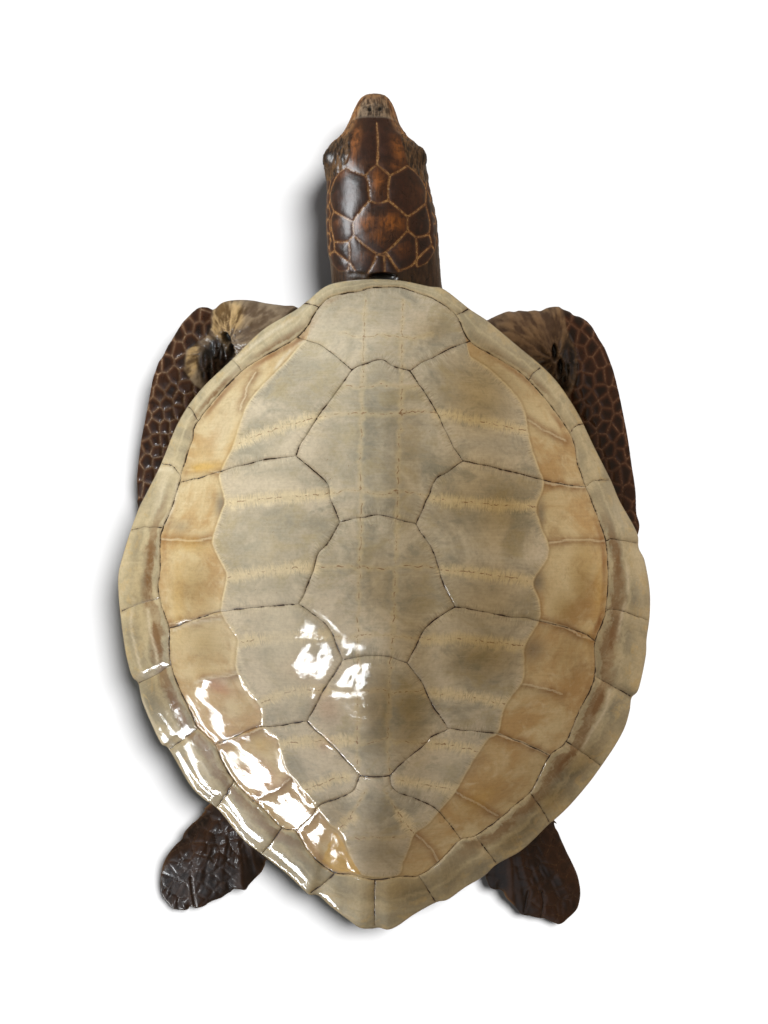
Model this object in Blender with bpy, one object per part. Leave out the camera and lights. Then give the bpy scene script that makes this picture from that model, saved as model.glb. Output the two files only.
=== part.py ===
"""A preserved green sea turtle: a bare-bone carapace over its plastron, with dried head, flippers and tail.

Metres, +Z up. The head points to +Y and the turtle's right side is at +X. The flat of the plastron lies on
z = 0, and the origin is on it, under the middle of the whole turtle's bounding box.
"""

import math

import bmesh
import bpy
import numpy as np

COLLECTION = "sea_turtle"
CUTTERS = "sea_turtle_cutters"
GAP = 0.0006  # between an eye and its socket

# Carapace: 0.60 m straight length. Its dome rises from the rim to one highest point.
DOME_TOP = (0.0, -0.030, 0.190)
DOME_POWER_FRONT = 2.2  # the roundness of the dome from its top to the rim
DOME_POWER_SIDE = 2.3
DOME_POWER_REAR = 1.7
FLARE_SIDE = 0.002  # how far the marginal ring dishes below the dome
FLARE_REAR = 0.005
FLARE_AT = 0.86
FLARE_WIDTH = 0.09
FLARE_FADE = 0.08  # the share next to the rim over which the dish fades out
KEEL_X = -0.0035
KEEL_HEIGHT = 0.003
KEEL_WIDTH = 0.018
KEEL_FADE = 0.3
BONE = 0.0065  # thickness of the dome's bone
RIM_EDGE = 0.006  # height of the rim's blunt edge
EDGE_SHARE = 0.997  # where that edge ends below, as a share of the way to the rim
LIP_DROP = 0.006  # how far the underside falls on its way in
LIP_SIDE = 0.030  # width of the marginals' underside at the bridges
LIP_ENDS = 0.015  # and at the front and rear
HOLLOW_DEPTH = 0.0035  # how far below the rim the hollow above the underside begins
HOLLOW_OUT = 0.012  # how much further out than halfway between the lip and the rim it begins
SLOPE_STEP = 0.01  # the share over which the dome's slope is read

RIM_LEFT = [
    (-0.020, 0.209), (-0.053, 0.204), (-0.073, 0.190), (-0.114, 0.163), (-0.171, 0.109),
    (-0.191, 0.080), (-0.207, 0.042), (-0.228, -0.001), (-0.2435, -0.045), (-0.247, -0.079),
    (-0.241, -0.121), (-0.228, -0.163), (-0.2135, -0.202), (-0.1785, -0.256), (-0.129, -0.307),
    (-0.088, -0.339), (-0.062, -0.361), (-0.029, -0.383), (-0.0175, -0.3905),
]
RIM_RIGHT = [
    (0.009, 0.209), (0.050, 0.2015), (0.074, 0.184), (0.118, 0.1525), (0.157, 0.119),
    (0.191, 0.064), (0.210, 0.025), (0.233, -0.015), (0.2465, -0.068), (0.2465, -0.0925),
    (0.238, -0.161), (0.226, -0.197), (0.193, -0.251), (0.162, -0.286), (0.110, -0.328),
    (0.080, -0.351), (0.0645, -0.3625), (0.033, -0.3775), (0.0085, -0.390),
]
RIM_REAR = (-0.0035, -0.388)
RIM_HEIGHTS = [(-0.390, 0.046), (-0.340, 0.051), (-0.225, 0.060), (-0.080, 0.066), (0.030, 0.073),
               (0.110, 0.085), (0.180, 0.102), (0.209, 0.106)]

# Plastron: a shallow dish whose bridges rise to the marginals' underside.
PLASTRON_BONE = 0.006
PLASTRON_FLAT = 0.50  # the share of its width that lies flat
PLASTRON_LIFT = 0.010  # how far its front and rear lobes curl up
PLASTRON_CENTRE = (0.0, -0.100)
PLASTRON_HALF = [(0.000, 0.166), (0.045, 0.160), (0.080, 0.135), (0.098, 0.090), (0.112, 0.045),
                 (0.140, 0.005), (0.176, -0.025), (0.2095, -0.060), (0.2130, -0.095), (0.2090, -0.135),
                 (0.180, -0.178), (0.130, -0.208), (0.094, -0.245), (0.077, -0.290), (0.045, -0.325),
                 (0.000, -0.338)]
BRIDGE_MIDDLE = -0.098
BRIDGE_REACH = 0.075  # half the length of a bridge
BRIDGE_BLEND = 0.045  # the stretch at each end over which a bridge comes down
BRIDGE_CURVE = 1.6  # how late the plastron turns up from its flat to its edge

# Head and neck sections: place along y, centre x, half width, top and bottom.
HEAD_SECTIONS = [
    (0.3895, -0.0160, 0.0060, 0.066, 0.046),
    (0.3825, -0.0150, 0.0110, 0.073, 0.038),
    (0.3730, -0.0145, 0.0160, 0.079, 0.031),
    (0.3600, -0.0138, 0.0215, 0.086, 0.025),
    (0.3480, -0.0142, 0.0290, 0.093, 0.021),
    (0.3370, -0.0148, 0.0410, 0.099, 0.018),
    (0.3220, -0.0145, 0.0475, 0.104, 0.016),
    (0.3020, -0.0112, 0.0475, 0.108, 0.015),
    (0.2740, -0.0080, 0.0505, 0.109, 0.015),
    (0.2450, -0.0055, 0.0515, 0.105, 0.016),
    (0.2200, -0.0025, 0.0510, 0.099, 0.018),
    (0.2020, -0.0010, 0.0530, 0.0925, 0.021),
    (0.1850, -0.0020, 0.0640, 0.0895, 0.0250),
    (0.1600, -0.0030, 0.0690, 0.0900, 0.0260),
    (0.1200, -0.0035, 0.0680, 0.0880, 0.0260),
]
HEAD_SQUARENESS = 2.4
EYE_RADIUS = 0.0105
EYE_LEFT = (-0.0515, 0.3230, 0.0790)
EYE_RIGHT = (0.0225, 0.3250, 0.0790)

# Limb sections: leading edge and trailing edge as (x, y, z), then the thickness between them.
FRONT_LEFT = [
    ((-0.084, 0.178, 0.062), (-0.088, 0.100, 0.050), 0.046),
    ((-0.104, 0.192, 0.060), (-0.105, 0.105, 0.048), 0.046),
    ((-0.132, 0.196, 0.057), (-0.127, 0.122, 0.045), 0.042),
    ((-0.158, 0.193, 0.053), (-0.143, 0.138, 0.040), 0.038),
    ((-0.180, 0.186, 0.049), (-0.152, 0.135, 0.037), 0.034),
    ((-0.199, 0.166, 0.045), (-0.157, 0.117, 0.034), 0.030),
    ((-0.212, 0.139, 0.041), (-0.163, 0.096, 0.031), 0.026),
    ((-0.221, 0.112, 0.038), (-0.169, 0.074, 0.028), 0.023),
    ((-0.227, 0.082, 0.034), (-0.174, 0.048, 0.025), 0.020),
    ((-0.231, 0.050, 0.030), (-0.179, 0.020, 0.021), 0.017),
    ((-0.2345, 0.016, 0.026), (-0.187, -0.009, 0.018), 0.014),
    ((-0.2320, -0.018, 0.021), (-0.197, -0.032, 0.015), 0.011),
    ((-0.2230, -0.046, 0.017), (-0.209, -0.050, 0.014), 0.007),
]
FRONT_RIGHT = [
    ((0.079, 0.176, 0.062), (0.082, 0.100, 0.050), 0.046),
    ((0.098, 0.187, 0.060), (0.099, 0.105, 0.048), 0.046),
    ((0.124, 0.192, 0.057), (0.120, 0.122, 0.045), 0.042),
    ((0.150, 0.195, 0.053), (0.138, 0.138, 0.040), 0.038),
    ((0.172, 0.190, 0.049), (0.150, 0.135, 0.037), 0.034),
    ((0.194, 0.174, 0.045), (0.158, 0.117, 0.034), 0.030),
    ((0.208, 0.148, 0.041), (0.165, 0.096, 0.031), 0.026),
    ((0.217, 0.120, 0.038), (0.171, 0.074, 0.028), 0.023),
    ((0.225, 0.086, 0.034), (0.176, 0.046, 0.025), 0.020),
    ((0.230, 0.050, 0.030), (0.181, 0.018, 0.021), 0.017),
    ((0.2355, 0.012, 0.026), (0.189, -0.012, 0.018), 0.014),
    ((0.2370, -0.020, 0.021), (0.200, -0.036, 0.015), 0.011),
    ((0.2280, -0.050, 0.017), (0.213, -0.054, 0.014), 0.007),
]
HIND_LEFT = [
    ((-0.104, -0.232, 0.044), (-0.036, -0.270, 0.034), 0.034),
    ((-0.138, -0.252, 0.034), (-0.060, -0.304, 0.028), 0.030),
    ((-0.164, -0.279, 0.027), (-0.090, -0.326, 0.022), 0.025),
    ((-0.183, -0.302, 0.024), (-0.112, -0.341, 0.019), 0.022),
    ((-0.197, -0.323, 0.022), (-0.131, -0.359, 0.019), 0.019),
    ((-0.2080, -0.346, 0.016), (-0.152, -0.371, 0.014), 0.015),
    ((-0.2080, -0.366, 0.012), (-0.174, -0.381, 0.011), 0.011),
    ((-0.1990, -0.380, 0.009), (-0.187, -0.3835, 0.009), 0.007),
]
HIND_RIGHT = [
    ((0.104, -0.232, 0.044), (0.036, -0.270, 0.034), 0.034),
    ((0.134, -0.254, 0.034), (0.058, -0.306, 0.028), 0.030),
    ((0.158, -0.281, 0.027), (0.082, -0.332, 0.022), 0.025),
    ((0.174, -0.308, 0.024), (0.104, -0.350, 0.019), 0.022),
    ((0.184, -0.333, 0.022), (0.119, -0.366, 0.019), 0.019),
    ((0.1915, -0.357, 0.016), (0.137, -0.380, 0.014), 0.015),
    ((0.1890, -0.374, 0.012), (0.157, -0.387, 0.011), 0.011),
    ((0.1780, -0.3865, 0.009), (0.167, -0.3895, 0.009), 0.007),
]
TAIL = [
    ((-0.027, -0.262, 0.032), (0.020, -0.262, 0.032), 0.030),
    ((-0.024, -0.300, 0.031), (0.017, -0.300, 0.031), 0.027),
    ((-0.016, -0.345, 0.026), (0.009, -0.345, 0.026), 0.019),
    ((-0.008, -0.376, 0.020), (0.001, -0.376, 0.020), 0.008),
]
LIMB_SIDES = 16
LIMB_STEPS = 2  # rings of mesh for each stated section
TRAILING_TAPER = 0.3  # how much thinner a limb is towards its trailing edge

# The skin that closes the shell's openings beside each limb: centre and radii, turned about Z in degrees.
SHOULDER = ((0.130, 0.066, 0.046), (0.030, 0.100, 0.032), 30)
THIGH = ((0.110, -0.230, 0.041), (0.066, 0.030, 0.022), 50)

# Viewport colour, roughness and metallic value of each material.
LACQUERED_BONE = ("lacquered_bone", (0.58, 0.50, 0.36, 1.0), 0.18, 0.0)
PLASTRON_BONE_LOOK = ("plastron_bone", (0.62, 0.50, 0.30, 1.0), 0.30, 0.0)
SCALED_SKIN = ("scaled_skin", (0.09, 0.045, 0.025, 1.0), 0.28, 0.0)
HEAD_SKIN = ("head_skin", (0.16, 0.07, 0.035, 1.0), 0.25, 0.0)
EYE_GLASS = ("eye_glass", (0.01, 0.008, 0.006, 1.0), 0.05, 0.0)

AROUND = 60  # mesh points around the carapace and the plastron
HEAD_SIDES = 24
SHARP_ANGLE = math.radians(50)


def clear_scene():
    for thing in list(bpy.data.objects):
        bpy.data.objects.remove(thing, do_unlink=True)


def new_collection(name, helpers=False):
    group = bpy.data.collections.new(name)
    bpy.context.scene.collection.children.link(group)
    group.hide_render = helpers
    return group


def material(name, colour, roughness, metallic):
    made = bpy.data.materials.get(name) or bpy.data.materials.new(name)
    made.use_nodes = True
    made.diffuse_color = colour
    shader = made.node_tree.nodes["Principled BSDF"]
    shader.inputs["Base Color"].default_value = colour
    shader.inputs["Roughness"].default_value = roughness
    shader.inputs["Metallic"].default_value = metallic
    return made


def add_object(name, rings, group, look):
    """An object lofted through rings of points. A ring of one point is a pole, and end rings are capped."""
    mesh = bmesh.new()
    made = [[mesh.verts.new(point) for point in ring] for ring in rings]
    for first, second in zip(made, made[1:]):
        count = max(len(first), len(second))
        for i in range(count):
            j = (i + 1) % count
            corners = [first[i % len(first)], first[j % len(first)],
                       second[j % len(second)], second[i % len(second)]]
            mesh.faces.new(dict.fromkeys(corners))
    for ring in (made[0], made[-1]):
        if len(ring) > 2:
            mesh.faces.new(ring)
    bmesh.ops.recalc_face_normals(mesh, faces=mesh.faces)
    data = bpy.data.meshes.new(name)
    mesh.to_mesh(data)
    mesh.free()
    data.shade_smooth()
    data.set_sharp_from_angle(angle=SHARP_ANGLE)
    data.materials.append(material(*look))
    thing = bpy.data.objects.new(name, data)
    group.objects.link(thing)
    return thing


def eased(value):
    value = min(max(value, 0.0), 1.0)
    return value * value * (3 - 2 * value)


def through(rows, steps):
    """Rows of numbers read from a smooth curve through the given rows, with steps rows for each."""
    rows = np.asarray(rows, float)
    padded = np.vstack([2 * rows[0] - rows[1], rows, 2 * rows[-1] - rows[-2]])
    found = []
    for k in range(1, len(rows)):
        before, start, end, after = padded[k - 1:k + 3]
        for t in np.arange(steps) / steps:
            found.append(0.5 * (2 * start + (end - before) * t
                                + (2 * before - 5 * start + 4 * end - after) * t ** 2
                                + (3 * start - before - 3 * end + after) * t ** 3))
    return np.array(found + [rows[-1]])


class Outline:
    """A closed plan outline, read as a distance from a centre for each direction."""

    def __init__(self, points, centre):
        away = np.asarray(points, float) - centre
        angles = np.arctan2(away[:, 1], away[:, 0])
        order = np.argsort(angles)
        self.angles = angles[order]
        self.radii = np.hypot(away[:, 0], away[:, 1])[order]

    def radius(self, angle):
        turn = 2 * math.pi
        angle = math.atan2(math.sin(angle), math.cos(angle))
        angles = np.concatenate([self.angles - turn, self.angles, self.angles + turn])
        return float(np.interp(angle, angles, np.tile(self.radii, 3)))


CARAPACE = Outline(RIM_LEFT + RIM_RIGHT + [RIM_REAR], DOME_TOP[:2])


def rim_height(angle):
    y = DOME_TOP[1] + CARAPACE.radius(angle) * math.sin(angle)
    return float(np.interp(y, *zip(*RIM_HEIGHTS)))


def lengthwise(angle):
    """0 across the shell, and 1 straight to the front or rear."""
    return math.sin(angle) ** 2


def dome_height(angle, share):
    """Height of the carapace's outer face, at this share of the way from its top to its rim."""
    end_power = DOME_POWER_FRONT if math.sin(angle) > 0 else DOME_POWER_REAR
    power = DOME_POWER_SIDE + (end_power - DOME_POWER_SIDE) * lengthwise(angle)
    rearward = max(-math.sin(angle), 0.0) ** 2
    flare = FLARE_SIDE + (FLARE_REAR - FLARE_SIDE) * rearward
    dish = flare * math.exp(-((share - FLARE_AT) / FLARE_WIDTH) ** 2) * eased((1 - share) / FLARE_FADE)
    sideways = share * CARAPACE.radius(angle) * math.cos(angle) - KEEL_X
    keel = KEEL_HEIGHT * math.exp(-(sideways / KEEL_WIDTH) ** 2) * eased((1 - share) / KEEL_FADE)
    rim = rim_height(angle)
    return rim + (DOME_TOP[2] - rim) * (1 - share ** power) - dish + keel


def on_carapace(angle, share, height):
    reach = share * CARAPACE.radius(angle)
    return (DOME_TOP[0] + reach * math.cos(angle), DOME_TOP[1] + reach * math.sin(angle), height)


def bone_depth(angle, share):
    """The bone's thickness straight down, which grows where the dome is steep."""
    run = SLOPE_STEP * CARAPACE.radius(angle)
    slope = (dome_height(angle, max(share - SLOPE_STEP, 0)) - dome_height(angle, share)) / run
    return BONE * math.sqrt(1 + slope * slope)


def lip_share(angle):
    """Where the marginals' underside ends, as a share of the way to the rim."""
    width = LIP_SIDE + (LIP_ENDS - LIP_SIDE) * lengthwise(angle)
    return 1 - width / CARAPACE.radius(angle)


def carapace_profile(angle):
    """The shell's section in one direction: out along its outer face, round the rim and back inside."""
    rim = rim_height(angle)
    outer = (0.12, 0.25, 0.38, 0.51, 0.64, 0.75, 0.84, 0.91, 0.965, 1.0)
    inner = (0.92, 0.84, 0.72, 0.58, 0.42, 0.25, 0.12)
    lip = lip_share(angle)
    top = [(share, dome_height(angle, share)) for share in outer]
    edge = [(EDGE_SHARE, rim - RIM_EDGE), (lip, rim - RIM_EDGE - LIP_DROP), (lip, rim - LIP_DROP)]
    hollow = (0.5 * (lip + 1) + HOLLOW_OUT, rim - HOLLOW_DEPTH)
    under = [(share, dome_height(angle, share) - bone_depth(angle, share)) for share in inner]
    return top + edge + [hollow] + under


def make_carapace(group):
    angles = [2 * math.pi * i / AROUND for i in range(AROUND)]
    columns = [[on_carapace(a, share, z) for share, z in carapace_profile(a)] for a in angles]
    rings = [list(ring) for ring in zip(*columns)]
    top = on_carapace(0, 0, DOME_TOP[2] + KEEL_HEIGHT)
    below = on_carapace(0, 0, DOME_TOP[2] + KEEL_HEIGHT - BONE)
    return add_object("carapace", [[top]] + rings + [[below]], group, LACQUERED_BONE)


def plastron_edge_height(x, y):
    """How high the plastron's underside is at its edge, here."""
    away = (x - DOME_TOP[0], y - DOME_TOP[1])
    marginal = rim_height(math.atan2(away[1], away[0])) - RIM_EDGE - LIP_DROP
    bridge = eased((BRIDGE_REACH - abs(y - BRIDGE_MIDDLE)) / BRIDGE_BLEND)
    return PLASTRON_LIFT + (marginal - PLASTRON_LIFT) * bridge


def plastron_rings(outline, thickness):
    shares = (0.25, PLASTRON_FLAT, 0.62, 0.74, 0.86, 1.0)
    rings = []
    for share in shares:
        ring = []
        for i in range(AROUND):
            angle = 2 * math.pi * i / AROUND
            reach = outline.radius(angle)
            x, y = (PLASTRON_CENTRE[k] + reach * f(angle) for k, f in enumerate((math.cos, math.sin)))
            rise = max(share - PLASTRON_FLAT, 0) / (1 - PLASTRON_FLAT)
            z = plastron_edge_height(x, y) * rise ** BRIDGE_CURVE + thickness
            ring.append((PLASTRON_CENTRE[0] + share * (x - PLASTRON_CENTRE[0]),
                         PLASTRON_CENTRE[1] + share * (y - PLASTRON_CENTRE[1]), z))
        rings.append(ring)
    return rings


def make_plastron(group):
    centre_x = PLASTRON_CENTRE[0]
    right = [(centre_x + x, y) for x, y in PLASTRON_HALF]
    left = [(centre_x - x, y) for x, y in PLASTRON_HALF[1:-1]]
    outline = Outline(right + left, PLASTRON_CENTRE)
    below = plastron_rings(outline, 0.0)
    above = plastron_rings(outline, PLASTRON_BONE)
    bottom, top = ([(*PLASTRON_CENTRE, z)] for z in (0.0, PLASTRON_BONE))
    return add_object("plastron", [bottom] + below + above[::-1] + [top], group, PLASTRON_BONE_LOOK)


def head_ring(y, centre_x, half_width, top, bottom):
    """A section of the head: a superellipse, squarer than an ellipse."""
    ring = []
    for i in range(HEAD_SIDES):
        angle = 2 * math.pi * i / HEAD_SIDES
        c, s = math.cos(angle), math.sin(angle)
        x = math.copysign(abs(c) ** (2 / HEAD_SQUARENESS), c)
        z = math.copysign(abs(s) ** (2 / HEAD_SQUARENESS), s)
        ring.append((centre_x + half_width * x, y, (top + bottom) / 2 + (top - bottom) / 2 * z))
    return ring


def make_head(group):
    rings = [head_ring(*row) for row in through(HEAD_SECTIONS, 2)]
    return add_object("head_and_neck", rings, group, HEAD_SKIN)


def add_ball(name, centre, radius, group, look, segments=16, rings=10):
    mesh = bmesh.new()
    bmesh.ops.create_uvsphere(mesh, u_segments=segments, v_segments=rings, radius=radius)
    data = bpy.data.meshes.new(name)
    mesh.to_mesh(data)
    mesh.free()
    data.shade_smooth()
    data.materials.append(material(*look))
    thing = bpy.data.objects.new(name, data)
    thing.location = centre
    group.objects.link(thing)
    return thing


def make_eye(side, centre, head, group, cutters):
    """A glass eye in a socket cut from the head."""
    add_ball(f"glass_eye_{side}", centre, EYE_RADIUS, group, EYE_GLASS)
    socket = add_ball(f"socket_{side}", centre, EYE_RADIUS + GAP, cutters, HEAD_SKIN)
    socket.hide_render = True
    socket.display_type = "WIRE"
    cut = head.modifiers.new(f"socket_{side}", "BOOLEAN")
    cut.operation = "DIFFERENCE"
    cut.object = socket


def limb_ring(leading, trailing, thickness):
    """A lens-shaped section from the leading edge to the trailing edge, blunt at the leading edge."""
    leading, trailing = np.array(leading), np.array(trailing)
    middle, half = (leading + trailing) / 2, (leading - trailing) / 2
    flat = np.array((half[0], half[1], 0.0))
    along = np.array((-flat[1], flat[0], 0.0)) / np.linalg.norm(flat)
    up = np.cross(half, along)
    up *= math.copysign(1 / np.linalg.norm(up), up[2])
    ring = []
    for i in range(LIMB_SIDES):
        angle = 2 * math.pi * i / LIMB_SIDES
        c, s = math.cos(angle), math.sin(angle)
        fullness = 1 - TRAILING_TAPER * (1 - c) / 2
        ring.append(tuple(middle + half * c + up * (thickness / 2 * s * fullness)))
    return ring


def make_limb(name, sections, group, look):
    rows = through([(*a, *b, t) for a, b, t in sections], LIMB_STEPS)
    rings = [limb_ring(row[:3], row[3:6], row[6]) for row in rows]
    return add_object(name, rings, group, look)


def join_pad(limb, pad, side, cutters):
    """Joins the skin beside the shell's opening to the limb. The side is 1 for right and -1 for left."""
    (x, y, z), radii, turn = pad
    ball = add_ball(f"{limb.name}_pad", (side * x, y, z), 1.0, cutters, SCALED_SKIN)
    for vertex in ball.data.vertices:
        vertex.co = [radius * place for radius, place in zip(radii, vertex.co)]
    ball.rotation_euler = (0, 0, side * math.radians(turn))
    ball.hide_render = True
    ball.display_type = "WIRE"
    union = limb.modifiers.new("pad", "BOOLEAN")
    union.operation = "UNION"
    union.object = ball


def main():
    clear_scene()
    group = new_collection(COLLECTION)
    cutters = new_collection(CUTTERS, helpers=True)
    make_carapace(group)
    make_plastron(group)
    head = make_head(group)
    make_eye("left", EYE_LEFT, head, group, cutters)
    make_eye("right", EYE_RIGHT, head, group, cutters)
    limbs = [("front_flipper_left", FRONT_LEFT, SHOULDER, -1),
             ("front_flipper_right", FRONT_RIGHT, SHOULDER, 1),
             ("hind_flipper_left", HIND_LEFT, THIGH, -1),
             ("hind_flipper_right", HIND_RIGHT, THIGH, 1)]
    for name, sections, pad, side in limbs:
        join_pad(make_limb(name, sections, group, SCALED_SKIN), pad, side, cutters)
    make_limb("tail", TAIL, group, SCALED_SKIN)


main()
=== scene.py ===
"""The looks of a preserved sea turtle: lacquered bare-bone carapace, plastron, dried head, flippers and tail.

Metres in the row frame: +Y to the beak, +X to the turtle's right side, z = 0 under the plastron.
Lines on the shell and the head are stated as pixels of the photograph and cast onto the surfaces.
"""

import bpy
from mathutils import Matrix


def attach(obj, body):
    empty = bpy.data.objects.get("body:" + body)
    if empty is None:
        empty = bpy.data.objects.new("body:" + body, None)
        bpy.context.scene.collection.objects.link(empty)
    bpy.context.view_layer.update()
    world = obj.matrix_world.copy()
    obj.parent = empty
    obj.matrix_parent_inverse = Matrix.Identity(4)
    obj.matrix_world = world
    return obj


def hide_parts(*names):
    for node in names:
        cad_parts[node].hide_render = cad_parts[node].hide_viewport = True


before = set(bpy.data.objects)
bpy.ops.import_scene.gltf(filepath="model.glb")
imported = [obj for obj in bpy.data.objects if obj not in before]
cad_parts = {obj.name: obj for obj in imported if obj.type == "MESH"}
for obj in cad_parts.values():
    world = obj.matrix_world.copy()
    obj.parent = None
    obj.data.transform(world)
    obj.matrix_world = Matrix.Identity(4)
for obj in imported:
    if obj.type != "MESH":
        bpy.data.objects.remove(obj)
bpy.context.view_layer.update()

import math

import bpy
import numpy as np
from mathutils import Vector, kdtree, noise
from mathutils.geometry import delaunay_2d_cdt

MM = 0.001
BODY = "root"

# The photograph's camera: straight above the turtle, turned a little.
IMAGE_SIZE = (768, 1024)
FOCAL_PIXELS = 1516.7
CAMERA_X = -0.0011
CAMERA_HEIGHT = 1.47
CAMERA_ROLL = math.radians(0.886)
SENSOR = 36.0
PIXEL = 0.00088  # a pixel's size at the height of the shell


# ---------------------------------------------------------------- numbers, curves and fields

def eased(value):
    value = np.clip(value, 0.0, 1.0)
    return value * value * (3 - 2 * value)


def bell(value, width):
    return np.exp(-(value / width) ** 2)


def from_photo(points, height):
    """Plan places of the photograph's pixels, on a surface at this height."""
    points = np.asarray(points, float)
    reach = (CAMERA_HEIGHT - height) / FOCAL_PIXELS
    across = (points[:, 0] - IMAGE_SIZE[0] / 2) * reach
    up = (IMAGE_SIZE[1] / 2 - points[:, 1]) * reach
    c, s = math.cos(CAMERA_ROLL), math.sin(CAMERA_ROLL)
    return np.column_stack([across * c - up * s + CAMERA_X, across * s + up * c])


def onto(points, surface):
    """Plan places of the photograph's pixels on a surface given as height(plan places)."""
    height = 0.1
    for _ in range(7):
        found = from_photo(points, height)
        height = surface(found)
    return found


def looped(points):
    """A ring of points, with the first again at the end."""
    return np.vstack([points, points[:1]])


def spline(rows, steps, closed=False):
    """Rows of numbers on a smooth curve through the given rows."""
    rows = np.asarray(rows, float)
    if closed:
        padded = np.vstack([rows[-1], rows, rows[:2]])
    else:
        padded = np.vstack([2 * rows[0] - rows[1], rows, 2 * rows[-1] - rows[-2]])
    t = np.linspace(0, 1, steps, endpoint=False)[:, None]
    fine = [0.5 * (2 * b + (c - a) * t + (2 * a - 5 * b + 4 * c - d) * t ** 2
                   + (3 * b - a - 3 * c + d) * t ** 3)
            for a, b, c, d in zip(padded, padded[1:], padded[2:], padded[3:])]
    return np.vstack(fine + [rows[:1] if closed else rows[-1:]])


def curve(points, step, closed=False):
    """Points at equal steps on a smooth curve through the given ones, in two or three dimensions."""
    return even(spline(points, 16, closed), step)


def even(points, step):
    """Points at equal steps along a line, its ends kept."""
    points = np.asarray(points, float)
    gone = gone_along(points)
    count = max(int(round(gone[-1] / step)), 1)
    places = np.linspace(0, gone[-1], count + 1)
    return np.column_stack([np.interp(places, gone, points[:, k]) for k in range(points.shape[1])])


def gone_along(line):
    return np.concatenate([[0], np.cumsum(np.linalg.norm(np.diff(line, axis=0), axis=1))])


def across(line):
    """Unit vectors across a plan line."""
    along = np.gradient(line, axis=0)
    along /= np.linalg.norm(along, axis=1)[:, None] + 1e-12
    return np.column_stack([-along[:, 1], along[:, 0]])


def ragged(line, size, wave, rng):
    """A plan line that wanders to both sides, with its ends kept."""
    if len(line) < 4:
        return line
    gone = gone_along(line)
    knots = np.arange(0, gone[-1] + 2 * wave, wave)
    offset = np.interp(gone, knots, rng.normal(0, size, len(knots)))
    offset *= np.clip(np.minimum(gone, gone[-1] - gone) / (1.5 * wave), 0, 1)
    return line + across(line) * offset[:, None]


def solid(places):
    """Plan places as places in space, at no height."""
    return places if places.shape[1] == 3 else np.column_stack([places, np.zeros(len(places))])


def tree_of(points):
    tree = kdtree.KDTree(len(points))
    for k, point in enumerate(points):
        tree.insert(point, k)
    tree.balance()
    return tree


def by_seed(places, seeds, values):
    """For each place, the value of the seed nearest to it."""
    find = tree_of(solid(seeds)).find
    return np.array([values[find(place)[1]] for place in solid(places)])


class Lines:
    """The distance to a set of lines, in two or three dimensions, and the place along them."""

    def __init__(self, lines, step=0.0004):
        lines = [even(line, step) for line in lines]
        self.run = np.concatenate([step * np.arange(len(line)) + 0.5 * k for k, line in enumerate(lines)])
        self.find = tree_of(solid(np.vstack(lines))).find

    def nearest(self, places):
        """Distances, and places along the lines, each line on a stretch of its own."""
        found = [self.find(place)[1:] for place in solid(places)]
        return np.array([gap for _, gap in found]), self.run[[k for k, _ in found]]

    def distance(self, places):
        return self.nearest(places)[0]


def rough(places, scale, octaves=3, offset=0.0):
    """Fractal noise at places, about -1 to 1."""
    places = solid(np.asarray(places) * scale + offset)
    return np.array([noise.fractal(place, 1.0, 2.0, octaves) for place in places])


def inside(places, outline):
    """Whether plan places lie inside a closed outline."""
    x, y = places[:, 0], places[:, 1]
    found = np.zeros(len(places), bool)
    for (x0, y0), (x1, y1) in zip(outline, np.roll(outline, -1, axis=0)):
        if y0 == y1:
            continue
        crosses = (y0 > y) != (y1 > y)
        found ^= crosses & (x < (x1 - x0) * (y - y0) / (y1 - y0) + x0)
    return found


# ---------------------------------------------------------------- meshes

def grid(lowest, highest, step, rng, jitter=0.05):
    """A honeycomb of points over a box."""
    xs = np.arange(lowest[0], highest[0] + step, step)
    ys = np.arange(lowest[1], highest[1] + step, step * 0.866)
    x, y = np.meshgrid(xs, ys)
    x = x + (np.arange(len(ys)) % 2)[:, None] * step / 2
    points = np.column_stack([x.ravel(), y.ravel()])
    return points + rng.normal(0, jitter * step, points.shape)


def triangulated(free, chains):
    """Triangles over free points and chains of points, whose links are edges of the triangles."""
    points, links, start = [], [], 0
    for chain in chains:
        points.append(chain)
        links += [(start + k, start + k + 1) for k in range(len(chain) - 1)]
        start += len(chain)
    points.append(free)
    points = [Vector(p) for p in np.vstack(points)]
    made = delaunay_2d_cdt(points, links, [], 0, 1e-6, False)
    return np.array([tuple(p) for p in made[0]]), np.array([tuple(f) for f in made[2] if len(f) == 3])


def compacted(plan, faces):
    """The places that triangles use, and the triangles in their numbers."""
    used = np.unique(faces)
    renumber = np.full(len(plan), -1)
    renumber[used] = np.arange(len(used))
    return plan[used], renumber[faces]


def trimmed(plan, faces, outline):
    """A plan mesh within its outline, with every triangle facing up."""
    plan, faces = compacted(plan, faces[inside(plan[faces].mean(axis=1), outline)])
    spin = np.cross(plan[faces[:, 1]] - plan[faces[:, 0]], plan[faces[:, 2]] - plan[faces[:, 0]])
    return plan, np.where((spin < 0)[:, None], faces[:, ::-1], faces)


def strips(rows):
    """Quads that join rows of vertex numbers, each row a closed ring."""
    return np.vstack([np.column_stack([a, np.roll(a, -1), np.roll(b, -1), b]) for a, b in zip(rows, rows[1:])])


def ball(rows, columns):
    """The angles of a ball's rings of vertices, and its triangles. Its two poles come last."""
    tilt = np.linspace(0, math.pi, rows + 1)[1:-1]
    turn = np.linspace(0, 2 * math.pi, columns, endpoint=False)
    rings = np.arange((rows - 1) * columns).reshape(-1, columns)
    quads = strips(rings)
    first, last = rings[0], rings[-1]
    faces = np.vstack([quads[:, [0, 1, 2]], quads[:, [0, 2, 3]],
                       np.column_stack([np.roll(first, -1), first, np.full(columns, rings.size)]),
                       np.column_stack([last, np.roll(last, -1), np.full(columns, rings.size + 1)])])
    return *np.meshgrid(tilt, turn, indexing="ij"), faces


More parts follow.
